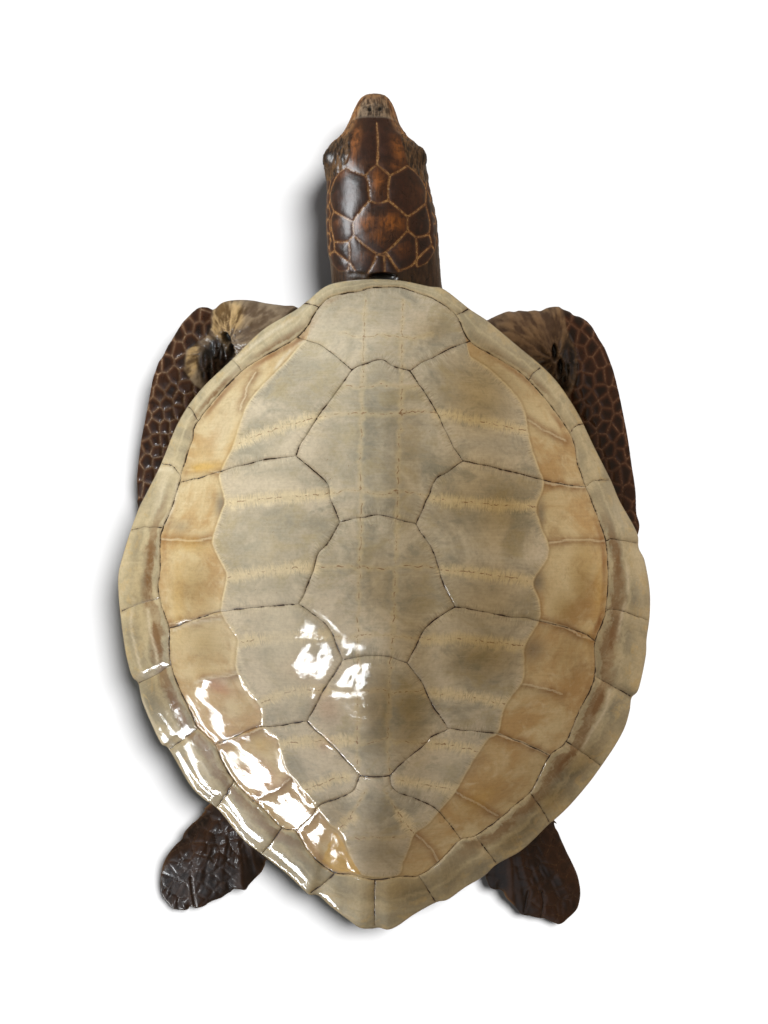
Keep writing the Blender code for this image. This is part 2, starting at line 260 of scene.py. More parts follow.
def add_mesh(name, places, faces, look, replaced, fields=None):
    """A piece of the object, with its fields as attributes that its material reads."""
    data = bpy.data.meshes.new(name)
    listed = [face for group in faces for face in group.tolist()]
    data.from_pydata(places.tolist(), [], listed)
    data.shade_smooth()
    data.materials.append(look)
    for field, values in (fields or {}).items():
        values = np.asarray(values, np.float32)
        kind = "FLOAT_VECTOR" if values.ndim == 2 else "FLOAT"
        layer = data.attributes.new(field, kind, "POINT")
        layer.data.foreach_set("vector" if values.ndim == 2 else "value", values.ravel())
    data.update()
    piece = bpy.data.objects.new(name, data)
    bpy.context.scene.collection.objects.link(piece)
    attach(piece, BODY)
    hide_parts(replaced)
    return piece


# ---------------------------------------------------------------- materials

def shade(code):
    """A linear colour from a hexadecimal display colour."""
    parts = [int(code[k:k + 2], 16) / 255 for k in (1, 3, 5)]
    return (*[p / 12.92 if p <= 0.04045 else ((p + 0.055) / 1.055) ** 2.4 for p in parts], 1.0)


class Look:
    """A procedural material: one Principled shader and the nodes that feed it."""

    def __init__(self, name, **settings):
        self.material = bpy.data.materials.new(name)
        self.material.use_nodes = True
        self.tree = self.material.node_tree
        self.shader = self.tree.nodes["Principled BSDF"]
        for socket, value in settings.items():
            self.shader.inputs[socket.replace("_", " ")].default_value = value
        self.object_place = self.tree.nodes.new("ShaderNodeTexCoord").outputs["Object"]

    def plug(self, socket, value):
        if isinstance(value, bpy.types.NodeSocket):
            self.tree.links.new(value, socket)
        elif value is not None:
            socket.default_value = value

    def field(self, name, vector=False):
        node = self.tree.nodes.new("ShaderNodeAttribute")
        node.attribute_name = name
        return node.outputs["Vector" if vector else "Fac"]

    def math(self, kind, a, b=None):
        node = self.tree.nodes.new("ShaderNodeMath")
        node.operation = kind
        self.plug(node.inputs[0], a)
        self.plug(node.inputs[1], b)
        return node.outputs[0]

    def times(self, a, b):
        return self.math("MULTIPLY", a, b)

    def plus(self, a, b):
        return self.math("ADD", a, b)

    def span(self, value, low, high, bottom=0.0, top=1.0, soft=True):
        """Maps low..high to bottom..top, and holds the ends."""
        node = self.tree.nodes.new("ShaderNodeMapRange")
        node.interpolation_type = "SMOOTHSTEP" if soft else "LINEAR"
        for socket, given in zip(node.inputs, (value, low, high, bottom, top)):
            self.plug(socket, given)
        return node.outputs[0]

    def noise(self, scale, detail=4.0, roughness=0.55, distortion=0.0, place=None):
        node = self.tree.nodes.new("ShaderNodeTexNoise")
        self.plug(node.inputs["Vector"], place or self.object_place)
        for socket, value in (("Scale", scale), ("Detail", detail), ("Roughness", roughness),
                              ("Distortion", distortion)):
            node.inputs[socket].default_value = value
        return node.outputs["Fac"]

    def stretched(self, place, scale):
        node = self.tree.nodes.new("ShaderNodeMapping")
        self.plug(node.inputs["Vector"], place)
        node.inputs["Scale"].default_value = scale
        return node.outputs[0]

    def mix(self, share, a, b, kind="MIX"):
        node = self.tree.nodes.new("ShaderNodeMix")
        node.data_type = "RGBA"
        node.blend_type = kind
        self.plug(node.inputs[0], share)
        self.plug(node.inputs[6], shade(a) if isinstance(a, str) else a)
        self.plug(node.inputs[7], shade(b) if isinstance(b, str) else b)
        return node.outputs[2]

    def bumps(self, heights):
        """A normal from bumps given as (height, distance in metres)."""
        normal = None
        for height, distance in heights:
            node = self.tree.nodes.new("ShaderNodeBump")
            node.inputs["Distance"].default_value = distance
            self.plug(node.inputs["Height"], height)
            self.plug(node.inputs["Normal"], normal)
            normal = node.outputs[0]
        return normal

    def finish(self, colour, roughness=None, heights=(), coat=()):
        """Plugs in the colour, the roughness and the bumps of the surface and of its lacquer."""
        self.plug(self.shader.inputs["Base Color"], colour)
        self.plug(self.shader.inputs["Roughness"], roughness)
        self.plug(self.shader.inputs["Normal"], self.bumps(heights))
        self.plug(self.shader.inputs["Coat Normal"], self.bumps(coat))
        return self.material


def bone_look():
    """Bare bone under gloss lacquer. Fields are in millimetres."""
    look = Look("lacquered_bone", Coat_Weight=1.0, Coat_Roughness=0.03, Coat_IOR=1.5, Specular_IOR_Level=0.25)
    mix, span, times, plus = look.mix, look.span, look.times, look.plus
    sulcus, suture, bone, ring = (look.field(n) for n in ("sulcus", "suture", "bone", "ring"))
    rimward, smoke, amber, rib = (look.field(n) for n in ("rimward", "smoke", "amber", "ribs"))
    neural, brown, pale, yellow = (look.field(n) for n in ("neural", "brown", "pale", "yellow"))
    comb_place, fibre_place = look.field("comb", vector=True), look.field("fibre", vector=True)
    cloud = look.noise(17, 6, 0.62, 0.7)
    patch = look.noise(36, 6, 0.66, 0.6, place=look.stretched(look.object_place, (1, 1.5, 1)))
    middling = look.noise(75, 6, 0.64, 0.5)
    fine = look.noise(330, 5, 0.68, 0.2)
    comb = look.noise(1.0, 4, 0.65, 0.25, place=look.stretched(comb_place, (0.85, 0.09, 1.0)))
    strand = look.noise(1.0, 5, 0.62, 0.4, place=look.stretched(fibre_place, (0.62, 0.045, 1.0)))
    combed = plus(comb, -0.5)

    # The plates: pale bone with grey, bluish and olive clouds.
    plate = mix(span(cloud, 0.36, 0.64), "#D6CCB7", "#AEA896")
    plate = mix(span(patch, 0.50, 0.70, 0.0, 0.55), plate, "#8F9186")
    plate = mix(span(plus(patch, times(cloud, -0.6)), -0.02, 0.22, 0.45, 0.0), plate, "#B9AA7C")
    plate = mix(times(smoke, span(middling, 0.25, 0.75, 0.45, 1.0)), plate, "#7B7C72")
    # Cream along the sutures and the scalloped ends, with ends like a comb's teeth.
    reach = plus(plus(suture, times(combed, 13.0)), times(plus(patch, -0.5), 7.0))
    plate = mix(span(reach, 0.5, 8.0, 1.0, 0.0), plate, "#E2D4B0")
    faint = plus(neural, times(plus(middling, -0.5), 8.0))
    plate = mix(span(faint, 0.3, 3.6, 0.5, 0.0), plate, "#D8C9A4")
    end = plus(look.math("ABSOLUTE", bone), times(combed, 5.0))
    plate = mix(span(end, 0.6, 4.6, 0.5, 0.0), plate, "#DACBAA")
    edge_near = look.math("MINIMUM", look.math("MINIMUM", suture, look.math("ABSOLUTE", bone)), sulcus)
    hairs = times(span(edge_near, 2.0, 9.0, 1.0, 0.0), span(comb, 0.52, 0.68))
    plate = mix(times(hairs, 0.40), plate, "#7A6A4C")
    pale_hairs = times(span(edge_near, 1.0, 12.0, 1.0, 0.0), span(comb, 0.46, 0.34))
    plate = mix(times(pale_hairs, 0.45), plate, "#E8DEC4")
    rust = look.noise(170, 3, 0.6, 0.7)
    thread = look.math("MINIMUM", suture, plus(neural, 0.1))
    dashes = times(span(thread, 0.25, 0.80, 1.0, 0.0), span(rust, 0.48, 0.60))
    plate = mix(times(dashes, 0.75), plate, "#805128")

    # The tan skin between the plates' ends and the marginals.
    tan = mix(span(cloud, 0.38, 0.62), "#DACAA2", "#C4A574")
    tan = mix(span(patch, 0.48, 0.74, 0.0, 0.55), tan, "#A4865A")
    tan = mix(span(middling, 0.50, 0.74, 0.0, 0.55), tan, "#E2D6B4")
    # Along the ribs: brown, partly painted shade beside their ridges, and on their crests a light line that is
    # a painted highlight.
    tan = mix(times(rib, span(middling, 0.3, 0.65, 0.35, 0.85)), tan, "#85592A")
    tan = mix(times(span(rib, 0.88, 0.98), 0.6), tan, "#E6DABC")
    tan = mix(times(smoke, 0.9), tan, "#7B756A")
    tan = mix(span(fine, 0.52, 0.72, 0.0, 0.25), tan, "#8A6636")
    # Painted shadow on the tan skin at the foot of the plates' raised ends.
    shadow_beside_plates = span(plus(bone, times(middling, 2.0)), -2.6, 0.8)
    tan = mix(times(shadow_beside_plates, 0.45), tan, "#8D7146")

    # The marginals: cream inner edge, then brown stain, then smoky grey-green bone.
    marginal = mix(span(cloud, 0.36, 0.64), "#CDC1A0", "#A8A088")
    marginal = mix(span(patch, 0.48, 0.70, 0.0, 0.5), marginal, "#94917C")
    band_noise = plus(rimward, times(plus(middling, -0.5), 0.45))
    brown_band = times(span(band_noise, 0.08, 0.16), span(band_noise, 0.28, 0.46, 1.0, 0.0))
    brown_band = times(brown_band, span(plus(patch, times(fine, 0.5)), 0.55, 0.80, 0.45, 1.0))
    wavy = span(look.math("ABSOLUTE", plus(band_noise, -0.50)), 0.0, 0.10, 0.45, 0.0)
    marginal = mix(times(smoke, span(middling, 0.2, 0.7, 0.5, 1.0)), marginal, "#76756A")
    marginal = mix(look.math("MINIMUM", times(brown_band, amber), 0.9), marginal, "#7E5A30")
    marginal = mix(wavy, marginal, "#D6CBAA")
    outer = times(span(rimward, 0.45, 0.75), span(middling, 0.50, 0.62))
    marginal = mix(times(outer, 0.55), marginal, "#CDB888")
    marginal = mix(span(plus(ring, times(middling, 2.0)), 1.4, 4.2, 0.85, 0.0), marginal, "#DCCCA8")

    colour = mix(span(bone, -0.3, 0.3), tan, plate)
    # A light line along the plates' scalloped ends: partly the bone's cream edge, partly a painted highlight on
    # the step.
    line = span(plus(look.math("ABSOLUTE", bone), times(combed, 1.2)), 0.3, 1.3, 1.0, 0.0)
    line = times(line, span(middling, 0.34, 0.6, 0.15, 0.85))
    colour = mix(line, colour, "#E2D4AE")
    colour = mix(times(yellow, span(middling, 0.3, 0.6, 0.7, 1.0)), colour, "#D2AE5C")
    strip = span(look.math("ABSOLUTE", plus(ring, 3.4)), 0.5, 4.4, 1.0, 0.0)
    strip = times(times(strip, amber), span(middling, 0.26, 0.50))
    colour = mix(strip, colour, "#8A5622")
    colour = mix(span(ring, -0.3, 0.3), colour, marginal)

    # Painted light and shade over the colour: a pinkish painted glow round the mirrored windows' reflections,
    # lighter painted-light patches and light lines, some of them painted highlights, and patches that darken,
    # partly the bone's browner tone and partly painted shade. Then strands, grain and pores.
    colour = mix(times(look.field("window_glow"), span(patch, 0.3, 0.6, 0.3, 0.7)), colour, "#BE8C66")
    colour = mix(pale, colour, "#E2DAC4")
    colour = mix(brown, colour, "#C8B894", "MULTIPLY")
    colour = mix(0.08, colour, mix(span(strand, 0.34, 0.66), "#8A8272", "#FFFFFF"), "MULTIPLY")
    colour = mix(0.16, colour, mix(span(fine, 0.34, 0.62), "#8F8672", "#FFFFFF"), "MULTIPLY")
    colour = mix(span(strand, 0.58, 0.72, 0.0, 0.07), colour, "#E6DCC2")
    flecks = span(look.noise(210, 4, 0.7, 1.2), 0.66, 0.74, 0.0, 0.5)
    colour = mix(flecks, colour, "#7A5A36")

    # Thin broken cracks in the seams, with a soft stain beside them.
    broken = times(span(look.noise(85, 4, 0.7, 0.8), 0.34, 0.66), span(patch, 0.40, 0.58, 0.45, 1.0))
    broken = times(broken, span(look.field("faint"), 0.0, 1.0, 1.0, 0.10))
    stain = times(span(plus(sulcus, times(combed, 2.5)), 0.3, 3.0, 0.6, 0.0), broken)
    colour = mix(stain, colour, "#7C6040")
    width = span(broken, 0.0, 1.0, 0.12, 0.60)
    crack = span(look.math("SUBTRACT", sulcus, width), -0.12, 0.16, 1.0, 0.0)
    colour = mix(times(crack, span(broken, 0.0, 0.6, 0.30, 0.97)), colour, "#2A1B12")

    roughness = span(middling, 0.3, 0.7, 0.36, 0.52)
    waves = look.noise(40, 3, 0.5, 0.3)
    sunk = times(crack, -1.0)
    return look.finish(colour, roughness, [(waves, 0.0012), (comb, 0.0001), (sunk, 0.0006)],
                       [(waves, 0.0002), (middling, 0.00011), (fine, 0.00003), (sunk, 0.0005)])


# ---------------------------------------------------------------- the carapace's shape

DOME_TOP = (0.0, -0.030, 0.190)
POWER_FRONT, POWER_SIDE, POWER_REAR = 2.2, 2.3, 1.7
FLARE_SIDE, FLARE_REAR, FLARE_AT, FLARE_WIDTH, FLARE_FADE = 0.002, 0.005, 0.86, 0.09, 0.08
KEEL_X, KEEL_HEIGHT, KEEL_WIDTH, KEEL_FADE = -0.0035, 0.0022, 0.026, 0.3
BONE, RIM_EDGE, LIP_DROP, LIP_SIDE, LIP_ENDS, HOLLOW_DEPTH = 0.0065, 0.006, 0.006, 0.030, 0.015, 0.0035
RIM_HEIGHTS = [
    (-0.390, 0.046), (-0.340, 0.051), (-0.225, 0.060), (-0.080, 0.066), (0.030, 0.073), (0.110, 0.085),
    (0.180, 0.102), (0.209, 0.106),
]

# The rim, from the front to the rear, left and right, in pixels of the photograph.
RIM_PIXELS_LEFT = [
    (366, 279), (330, 284), (308, 300), (295, 310), (262, 330), (233, 358), (200, 390), (178, 422), (161, 463),
    (145, 495), (138, 509), (129, 534), (122, 557), (118, 574), (118, 593), (120, 615), (123, 639), (127, 661),
    (132, 677), (138, 684), (142, 702), (152, 726), (161, 744), (169, 750), (189, 784), (203, 799), (218, 810),
    (242, 839), (262, 855), (285, 873), (299, 886), (309, 895), (318, 896), (332, 908), (348, 920), (360, 928),
    (371, 929),
]
RIM_PIXELS_RIGHT = [
    (399, 280), (429, 286), (444, 289), (470, 309), (488, 321), (518, 346), (542, 366), (559, 384), (578, 413),
    (594, 446), (611, 480), (620, 501), (637, 532), (639, 548), (645, 561), (650, 590), (650, 616), (647, 639),
    (646, 657), (639, 689), (632, 698), (630, 711), (625, 728), (616, 745), (602, 766), (588, 785), (569, 807),
    (554, 821), (549, 825), (523, 850), (497, 865), (485, 876), (465, 888), (448, 900), (436, 903), (414, 915),
    (398, 926), (388, 930), (379, 928),
]

TURNS = np.linspace(-math.pi, math.pi, 2880, endpoint=False)


def softened(values, degrees):
    """Values round the rim, smoothed."""
    lags = np.minimum(np.arange(len(TURNS)), len(TURNS) - np.arange(len(TURNS))) * 360 / len(TURNS)
    weights = bell(lags, degrees)
    return np.real(np.fft.ifft(np.fft.fft(values) * np.fft.fft(weights / weights.sum())))


def around(values, angle):
    return np.interp(angle, TURNS, values, period=2 * math.pi)


def by_turn(points, centre=DOME_TOP[:2]):
    """A closed line as its distance from a centre for each direction."""
    away = points - centre
    angle = np.arctan2(away[:, 1], away[:, 0])
    order = np.argsort(angle)
    return np.interp(TURNS, angle[order], np.hypot(*away[order].T), period=2 * math.pi)


def rim_level(plan):
    return np.interp(plan[:, 1], *zip(*RIM_HEIGHTS))


def rim_line():
    pixels = RIM_PIXELS_LEFT + RIM_PIXELS_RIGHT[::-1]
    height = 0.07
    for _ in range(6):
        plan = from_photo(pixels, height)
        height = rim_level(plan)
    return curve(plan, 0.0004, closed=True)


RIM_FINE = by_turn(rim_line())
RIM_SOFT = softened(RIM_FINE, 5)
RIM_LEVEL = softened(np.interp(DOME_TOP[1] + RIM_SOFT * np.sin(TURNS), *zip(*RIM_HEIGHTS)), 5)


def polar(plan):
    away = plan - DOME_TOP[:2]
    angle = np.arctan2(away[:, 1], away[:, 0])
    reach = np.hypot(away[:, 0], away[:, 1])
    soft, fine = around(RIM_SOFT, angle), around(RIM_FINE, angle)
    outer = eased((reach / soft - 0.75) / 0.25)
    return angle, reach / (soft + (fine - soft) * outer)


def dome(plan):
    """Height of the bare dome at plan places."""
    angle, share = polar(plan)
    rise, lengthwise = np.sin(angle), np.sin(angle) ** 2
    power = POWER_SIDE + (np.where(rise > 0, POWER_FRONT, POWER_REAR) - POWER_SIDE) * lengthwise
    flare = FLARE_SIDE + (FLARE_REAR - FLARE_SIDE) * np.maximum(-rise, 0) ** 2
    dish = flare * bell(share - FLARE_AT, FLARE_WIDTH) * eased((1 - share) / FLARE_FADE)
    keel = KEEL_HEIGHT * bell(plan[:, 0] - KEEL_X, KEEL_WIDTH) * eased((1 - share) / KEEL_FADE)
    rim = around(RIM_LEVEL, angle)
    return rim + (DOME_TOP[2] - rim) * (1 - share ** power) - dish + keel


# ---------------------------------------------------------------- the carapace's lines, in pixels

RING_LEFT = [
    (319, 307), (297, 337), (242, 371), (198, 421), (192, 440), (181, 474), (180, 481), (171, 509), (163, 528),
    (160, 540), (160, 568), (158, 587), (161, 604), (169, 629), (169, 645), (171, 665), (179, 688), (192, 715),
    (198, 728), (215, 745), (222, 761), (234, 781), (253, 801), (263, 809), (282, 828), (296, 832), (306, 848),
    (319, 863), (335, 873), (351, 875), (375, 880),
]
RING_RIGHT = [
    (456, 315), (470, 341), (499, 359), (529, 380), (570, 433), (578, 464), (586, 487), (591, 499), (600, 522),
    (606, 541), (608, 562), (608, 587), (606, 610), (604, 619), (595, 642), (595, 657), (595, 676), (590, 691),
    (579, 712), (566, 742), (550, 756), (540, 775), (530, 793), (512, 808), (505, 815), (476, 836), (461, 840),
    (439, 862), (419, 876), (400, 877), (375, 880),
]
RING_FRONT = [(319, 307), (333, 296), (359, 291), (369, 288), (396, 287), (416, 292), (436, 300), (456, 315)]

SEAMS = {
    "vertebral_1_left": [(297, 337), (311, 342), (321, 345), (338, 358), (352, 370)],
    "vertebral_1_right": [(470, 341), (449, 349), (432, 358), (421, 363), (410, 371)],
    "vertebral_1_2": [(352, 370), (361, 365), (381, 359.5), (394, 366), (410, 371)],
    "vertebral_2_left_front": [(352, 370), (338, 390), (320, 414), (301, 444), (296, 456)],
    "vertebral_2_right_front": [(410, 371), (424, 392), (437, 413), (451, 442), (463, 461)],
    "vertebral_2_left_rear": [(296, 456), (307, 465), (319, 475), (328, 485), (331, 500), (340, 522)],
    "vertebral_2_right_rear": [(463, 461), (446, 473), (438, 477), (433, 485), (428, 497), (416, 524)],
    "vertebral_2_3": [(340, 522), (360, 518), (377, 515), (396, 519), (416, 524)],
    "vertebral_3_left_front": [(340, 522), (328, 543), (319, 553), (314, 568), (306, 590), (299, 604)],
    "vertebral_3_right_front": [
        (416, 524), (425, 539), (434, 553), (438, 566), (444, 585), (451, 599), (455, 607),
    ],
    "vertebral_3_left_rear": [(299, 604), (318, 617), (331, 631), (336, 644), (343, 660)],
    "vertebral_3_right_rear": [(455, 607), (438, 618), (428, 626), (421, 635), (415, 649), (407, 663)],
    "vertebral_3_4": [(343, 660), (358, 657), (375, 656), (391, 658), (407, 663)],
    "vertebral_4_left_front": [(343, 660), (331, 680), (324, 690), (317, 704), (307, 721)],
    "vertebral_4_right_front": [(407, 663), (421, 681), (426, 692), (433, 706), (447, 726)],
    "vertebral_4_left_rear": [(307, 721), (314, 729), (326, 739), (345, 759), (360, 776)],
    "vertebral_4_right_rear": [(447, 730), (432, 737), (424, 745), (401, 764), (390, 776)],
    "vertebral_4_5": [(360, 776), (374, 777), (390, 776)],
    "vertebral_5_left": [(360, 776), (353, 791), (337, 799), (329, 802), (319, 806), (312, 817), (297, 831)],
    "vertebral_5_right": [(390, 776), (391, 785), (398, 792), (421, 801), (437, 810), (450, 825), (461, 840)],
    "costal_1_2_left": [(296, 456), (263, 460), (221, 471), (202, 477), (181, 482)],
    "costal_1_2_right": [(463, 461), (488, 466), (505, 470), (535, 478), (561, 484), (586, 487)],
    "costal_2_3_left": [(299, 604), (263, 607), (225, 611), (206, 616), (170, 628)],
    "costal_2_3_right": [
        (455, 607), (471, 609), (503, 616), (520, 618), (535, 620), (556, 625), (580, 632), (595, 641),
    ],
    "costal_3_4_left": [(307, 721), (276, 726), (255, 728), (229, 739), (215, 745)],
    "costal_3_4_right": [(447, 728), (471, 731), (497, 734), (516, 740), (535, 749), (550, 756)],
}
# The seams between the marginals from the front to the rear, the left side's first.
DIVIDERS = [
    [(319, 307), (311, 304), (303, 303)], [(242, 371), (236, 363), (230, 359)],
    [(198, 421), (192, 410), (186, 406)], [(181, 476), (172, 466), (162, 464)],
    [(163, 528), (148, 527), (132, 530)], [(160, 598), (142, 603), (122, 611)],
    [(171, 665), (155, 675), (139, 683)], [(197, 729), (183, 740), (170, 749)],
    [(234, 781), (226, 795), (217, 807)], [(282, 828), (272, 843), (263, 853)],
    [(335, 873), (326, 882), (311, 893)], [(456, 315), (463, 312), (468, 309)],
    [(529, 380), (534, 373), (540, 368)], [(570, 433), (576, 426), (583, 424)],
    [(586, 487), (594, 481), (609, 480)], [(606, 541), (614, 539), (636, 543)],
    [(606, 610), (618, 610), (647, 620)], [(595, 676), (607, 683), (630, 696)],
    [(567, 742), (583, 753), (600, 765)], [(530, 793), (540, 806), (549, 822)],
    [(476, 836), (486, 850), (496, 863)], [(419, 876), (427, 889), (435, 901)],
    [(375, 880), (374.5, 903), (375, 925)],
]
# The scalloped ends of the pleural bones, left and right, from the front to the rear.
PLEURAL_LEFT = [
    (306, 341), (286, 362), (262, 386), (248, 404), (240, 424), (233, 446), (221, 471), (220, 480), (225, 501),
    (222, 511), (213, 538), (215, 550), (225, 569), (227, 578), (222, 603), (222, 614), (235, 634), (238, 643),
    (236, 666), (244, 685), (257, 701), (262, 711), (263, 728), (277, 738), (281, 753), (284, 765), (290, 775),
    (304, 791), (319, 811), (329, 824), (341, 833), (349, 852), (361, 874),
]
PLEURAL_RIGHT = [
    (456, 349), (472, 358), (490, 370), (513, 392), (524, 410), (530, 442), (538, 467), (543, 480), (542, 491),
    (536, 507), (540, 524), (548, 545), (547, 559), (533, 582), (539, 601), (539, 620), (525, 645), (524, 662),
    (522, 682), (505, 706), (498, 732), (488, 739), (476, 756), (466, 773), (454, 793), (440, 810), (428, 824),
    (414, 834), (409, 848), (403, 862), (396, 876),
]
PLATES_FRONT = [(430, 338), (385, 330), (335, 334)]
# Sutures between the pleural bones from the midline outwards, the left side's first.
SUTURES = [
    [(319, 417), (292, 424), (262, 434), (233, 446)], [(331, 493), (300, 496), (262, 499), (225, 503)],
    [(314, 568), (285, 569), (255, 573), (227, 578)], [(325, 635), (295, 636), (265, 639), (238, 642)],
    [(323, 690), (303, 690), (283, 694), (260, 704)], [(350, 741), (330, 741), (306, 742), (280, 744)],
    [(347, 778), (335, 779), (322, 784), (303, 790)], [(352, 818), (345, 822), (338, 831)],
    [(437, 413), (462, 418), (495, 425), (527, 430)], [(433, 499), (462, 502), (500, 505), (536, 507)],
    [(441, 570), (470, 572), (503, 576), (533, 582)], [(426, 640), (455, 639), (490, 642), (525, 646)],
    [(428, 693), (450, 694), (478, 698), (508, 704)], [(432, 744), (447, 745), (463, 748), (480, 752)],
    [(400, 780), (415, 783), (434, 786), (456, 790)], [(398, 812), (405, 822), (414, 834)],
]
# The sutures round and across the neural bones, and beside the pygal.
NEURALS = [
    [(340, 333), (360, 337), (385, 335), (410, 338), (432, 334)],
    [(345, 385), (362, 388), (384, 384), (402, 388), (418, 386)],
    [(319, 417), (345, 413), (383, 414), (412, 412), (437, 413)],
    [(331, 493), (352, 490), (380, 494), (404, 491), (430, 496)],
    [(314, 568), (345, 566), (378, 569), (405, 566), (438, 568)],
    [(325, 635), (350, 637), (377, 634), (400, 637), (424, 638)],
    [(326, 690), (352, 693), (378, 690), (402, 692), (424, 690)],
    [(350, 741), (366, 743), (384, 740), (402, 742), (428, 743)],
    [(350, 838), (362, 839), (376, 837), (391, 838), (406, 837)],
    [
        (366, 300), (364, 330), (363, 385), (360, 450), (361, 520), (359, 580), (358, 640), (357, 700),
        (357, 745), (360, 776),
    ],
    [
        (403, 300), (402, 330), (402, 385), (399, 450), (397, 500), (396, 560), (393, 630), (389, 700),
        (388, 745), (389, 776),
    ],
    [(366, 790), (357, 806), (343, 826)], [(384, 790), (394, 806), (404, 826)],
]
# The ribs' ends and the folds across the tan skin, the left side's first.
RIBS = [
    [(256, 372), (247, 388), (240, 410)], [(187, 470), (205, 469), (221, 472)],
    [(162, 539), (188, 540), (212, 538)], [(170, 624), (196, 619), (222, 614)],
    [(202, 679), (220, 677), (237, 674)], [(218, 744), (238, 737), (262, 728)],
    [(254, 799), (272, 791), (290, 779)], [(298, 829), (308, 820), (319, 811)],
    [(528, 420), (548, 430), (566, 441)], [(544, 482), (563, 486), (584, 487)],
    [(549, 543), (575, 541), (605, 541)], [(541, 620), (566, 628), (592, 640)],
    [(522, 684), (542, 687), (562, 694)], [(498, 734), (524, 744), (549, 755)],
    [(456, 792), (475, 803), (498, 816)], [(416, 835), (430, 848), (438, 861)],
]


def spots(plan, patches, surface=dome):
    """Soft elliptical patches: centre in pixels, radii in pixels, turn in degrees and strength."""
    found = np.zeros(len(plan))
    for x, y, long, wide, turn, strength in patches:
        centre = onto([(x, y)], surface)[0]
        away = (plan - centre) / PIXEL
        c, s = math.cos(math.radians(turn)), math.sin(math.radians(turn))
        u, v = away[:, 0] * c + away[:, 1] * s, -away[:, 0] * s + away[:, 1] * c
        found = np.maximum(found, strength * np.exp(-(u / long) ** 2 - (v / wide) ** 2))
    return found


# Patches of colour. Each: centre, radii along and across its turn, turn in degrees, strength. SMOKE is grey.
# The list after it darkens and browns: partly the bone's own browner tone, partly painted shade where the
# light falls off, mostly on the right and at the rear. The next lightens: painted light, mostly on the left and
# the front. YELLOW is horn, AMBER stains the marginals and the edge of the tan skin.
SMOKE = [
    (369, 427, 9, 34, 0, .55), (391, 430, 9, 34, 0, .6), (367, 506, 8, 14, 0, .6), (391, 506, 9, 14, 0, .65),
    (392, 580, 7, 20, 0, .5), (366, 560, 7, 26, 0, .25), (350, 470, 14, 24, 0, .25), (372, 690, 12, 34, 0, .35),
    (375, 735, 14, 26, 0, .4), (375, 810, 22, 18, 0, .55), (372, 852, 18, 16, 0, .5), (410, 800, 16, 14, 0, .4),
    (221, 505, 6, 13, 0, .95), (239, 546, 14, 10, 0, .35), (180, 527, 12, 7, 0, .5), (541, 514, 5, 14, 0, .85),
    (537, 582, 8, 12, 0, .9), (533, 650, 12, 12, 0, .7), (505, 380, 30, 14, -35, .3),
    (505, 410, 24, 13, -20, .4), (492, 445, 30, 10, -8, .35), (270, 430, 26, 9, 12, .4),
    (284, 470, 26, 8, 6, .45), (270, 520, 30, 9, 0, .2), (272, 590, 26, 9, 0, .2), (275, 655, 22, 10, -8, .3),
    (295, 712, 22, 9, 0, .3), (300, 765, 16, 10, -30, .3), (480, 520, 34, 10, 0, .3),
    (480, 590, 30, 10, 0, .35), (490, 660, 28, 9, 0, .35), (455, 720, 22, 8, 0, .25),
    (455, 770, 22, 10, 20, .35), (385, 320, 30, 14, 0, .2), (330, 325, 12, 16, 0, .3),
    (440, 330, 14, 16, 0, .3), (137, 545, 7, 20, -10, .6), (133, 640, 7, 18, 10, .75),
    (146, 580, 6, 14, -15, .7), (150, 702, 8, 16, 25, .7), (180, 760, 10, 16, 35, .65),
    (206, 792, 8, 14, 45, .6), (243, 824, 18, 8, -40, .6), (300, 868, 18, 9, -38, .7),
    (345, 893, 14, 10, -20, .5), (410, 893, 14, 9, 25, .45), (448, 880, 16, 9, 35, .6),
    (480, 868, 12, 8, 40, .55), (620, 555, 7, 18, 0, .55), (634, 600, 7, 12, 0, .6), (626, 636, 9, 14, 0, .75),
    (618, 672, 9, 12, 0, .6), (609, 710, 9, 14, -25, .65), (594, 742, 9, 16, -35, .7),
    (565, 778, 10, 20, -45, .95), (528, 822, 10, 18, -50, .85), (612, 520, 6, 16, 0, .3),
    (165, 490, 6, 14, -20, .35),
]
BROWNER_AND_SHADED = [
    (480, 395, 46, 62, 0, 1.0), (430, 330, 26, 20, 0, .55), (194, 588, 20, 26, 0, .6),
    (582, 590, 16, 40, 0, .8), (568, 655, 20, 30, 0, .6), (205, 650, 18, 26, 0, .6), (568, 612, 22, 22, 0, .9),
    (572, 680, 22, 30, 0, .5), (550, 800, 30, 18, 45, .9), (512, 840, 26, 14, 40, .8),
    (408, 470, 22, 120, 0, .55), (415, 620, 30, 110, 0, .75), (480, 490, 60, 70, 0, .8),
    (490, 600, 60, 60, 0, .8), (470, 700, 50, 40, 0, .25), (412, 710, 26, 60, 0, 1.0),
    (484, 655, 50, 34, 0, 1.0), (500, 510, 50, 60, 0, .95), (378, 705, 22, 50, 0, 1.0),
    (378, 590, 24, 46, 0, .65), (336, 812, 20, 22, 0, .6), (480, 410, 50, 30, 30, .4),
    (378, 850, 36, 50, 0, .6), (400, 890, 60, 22, 0, .75), (440, 880, 40, 20, 30, .6),
    (590, 660, 20, 90, -15, .35), (520, 790, 60, 24, 42, .4), (140, 600, 16, 80, 0, .45),
    (158, 690, 16, 34, 25, .55), (578, 765, 16, 34, -45, .8), (525, 828, 16, 30, -52, .7),
]
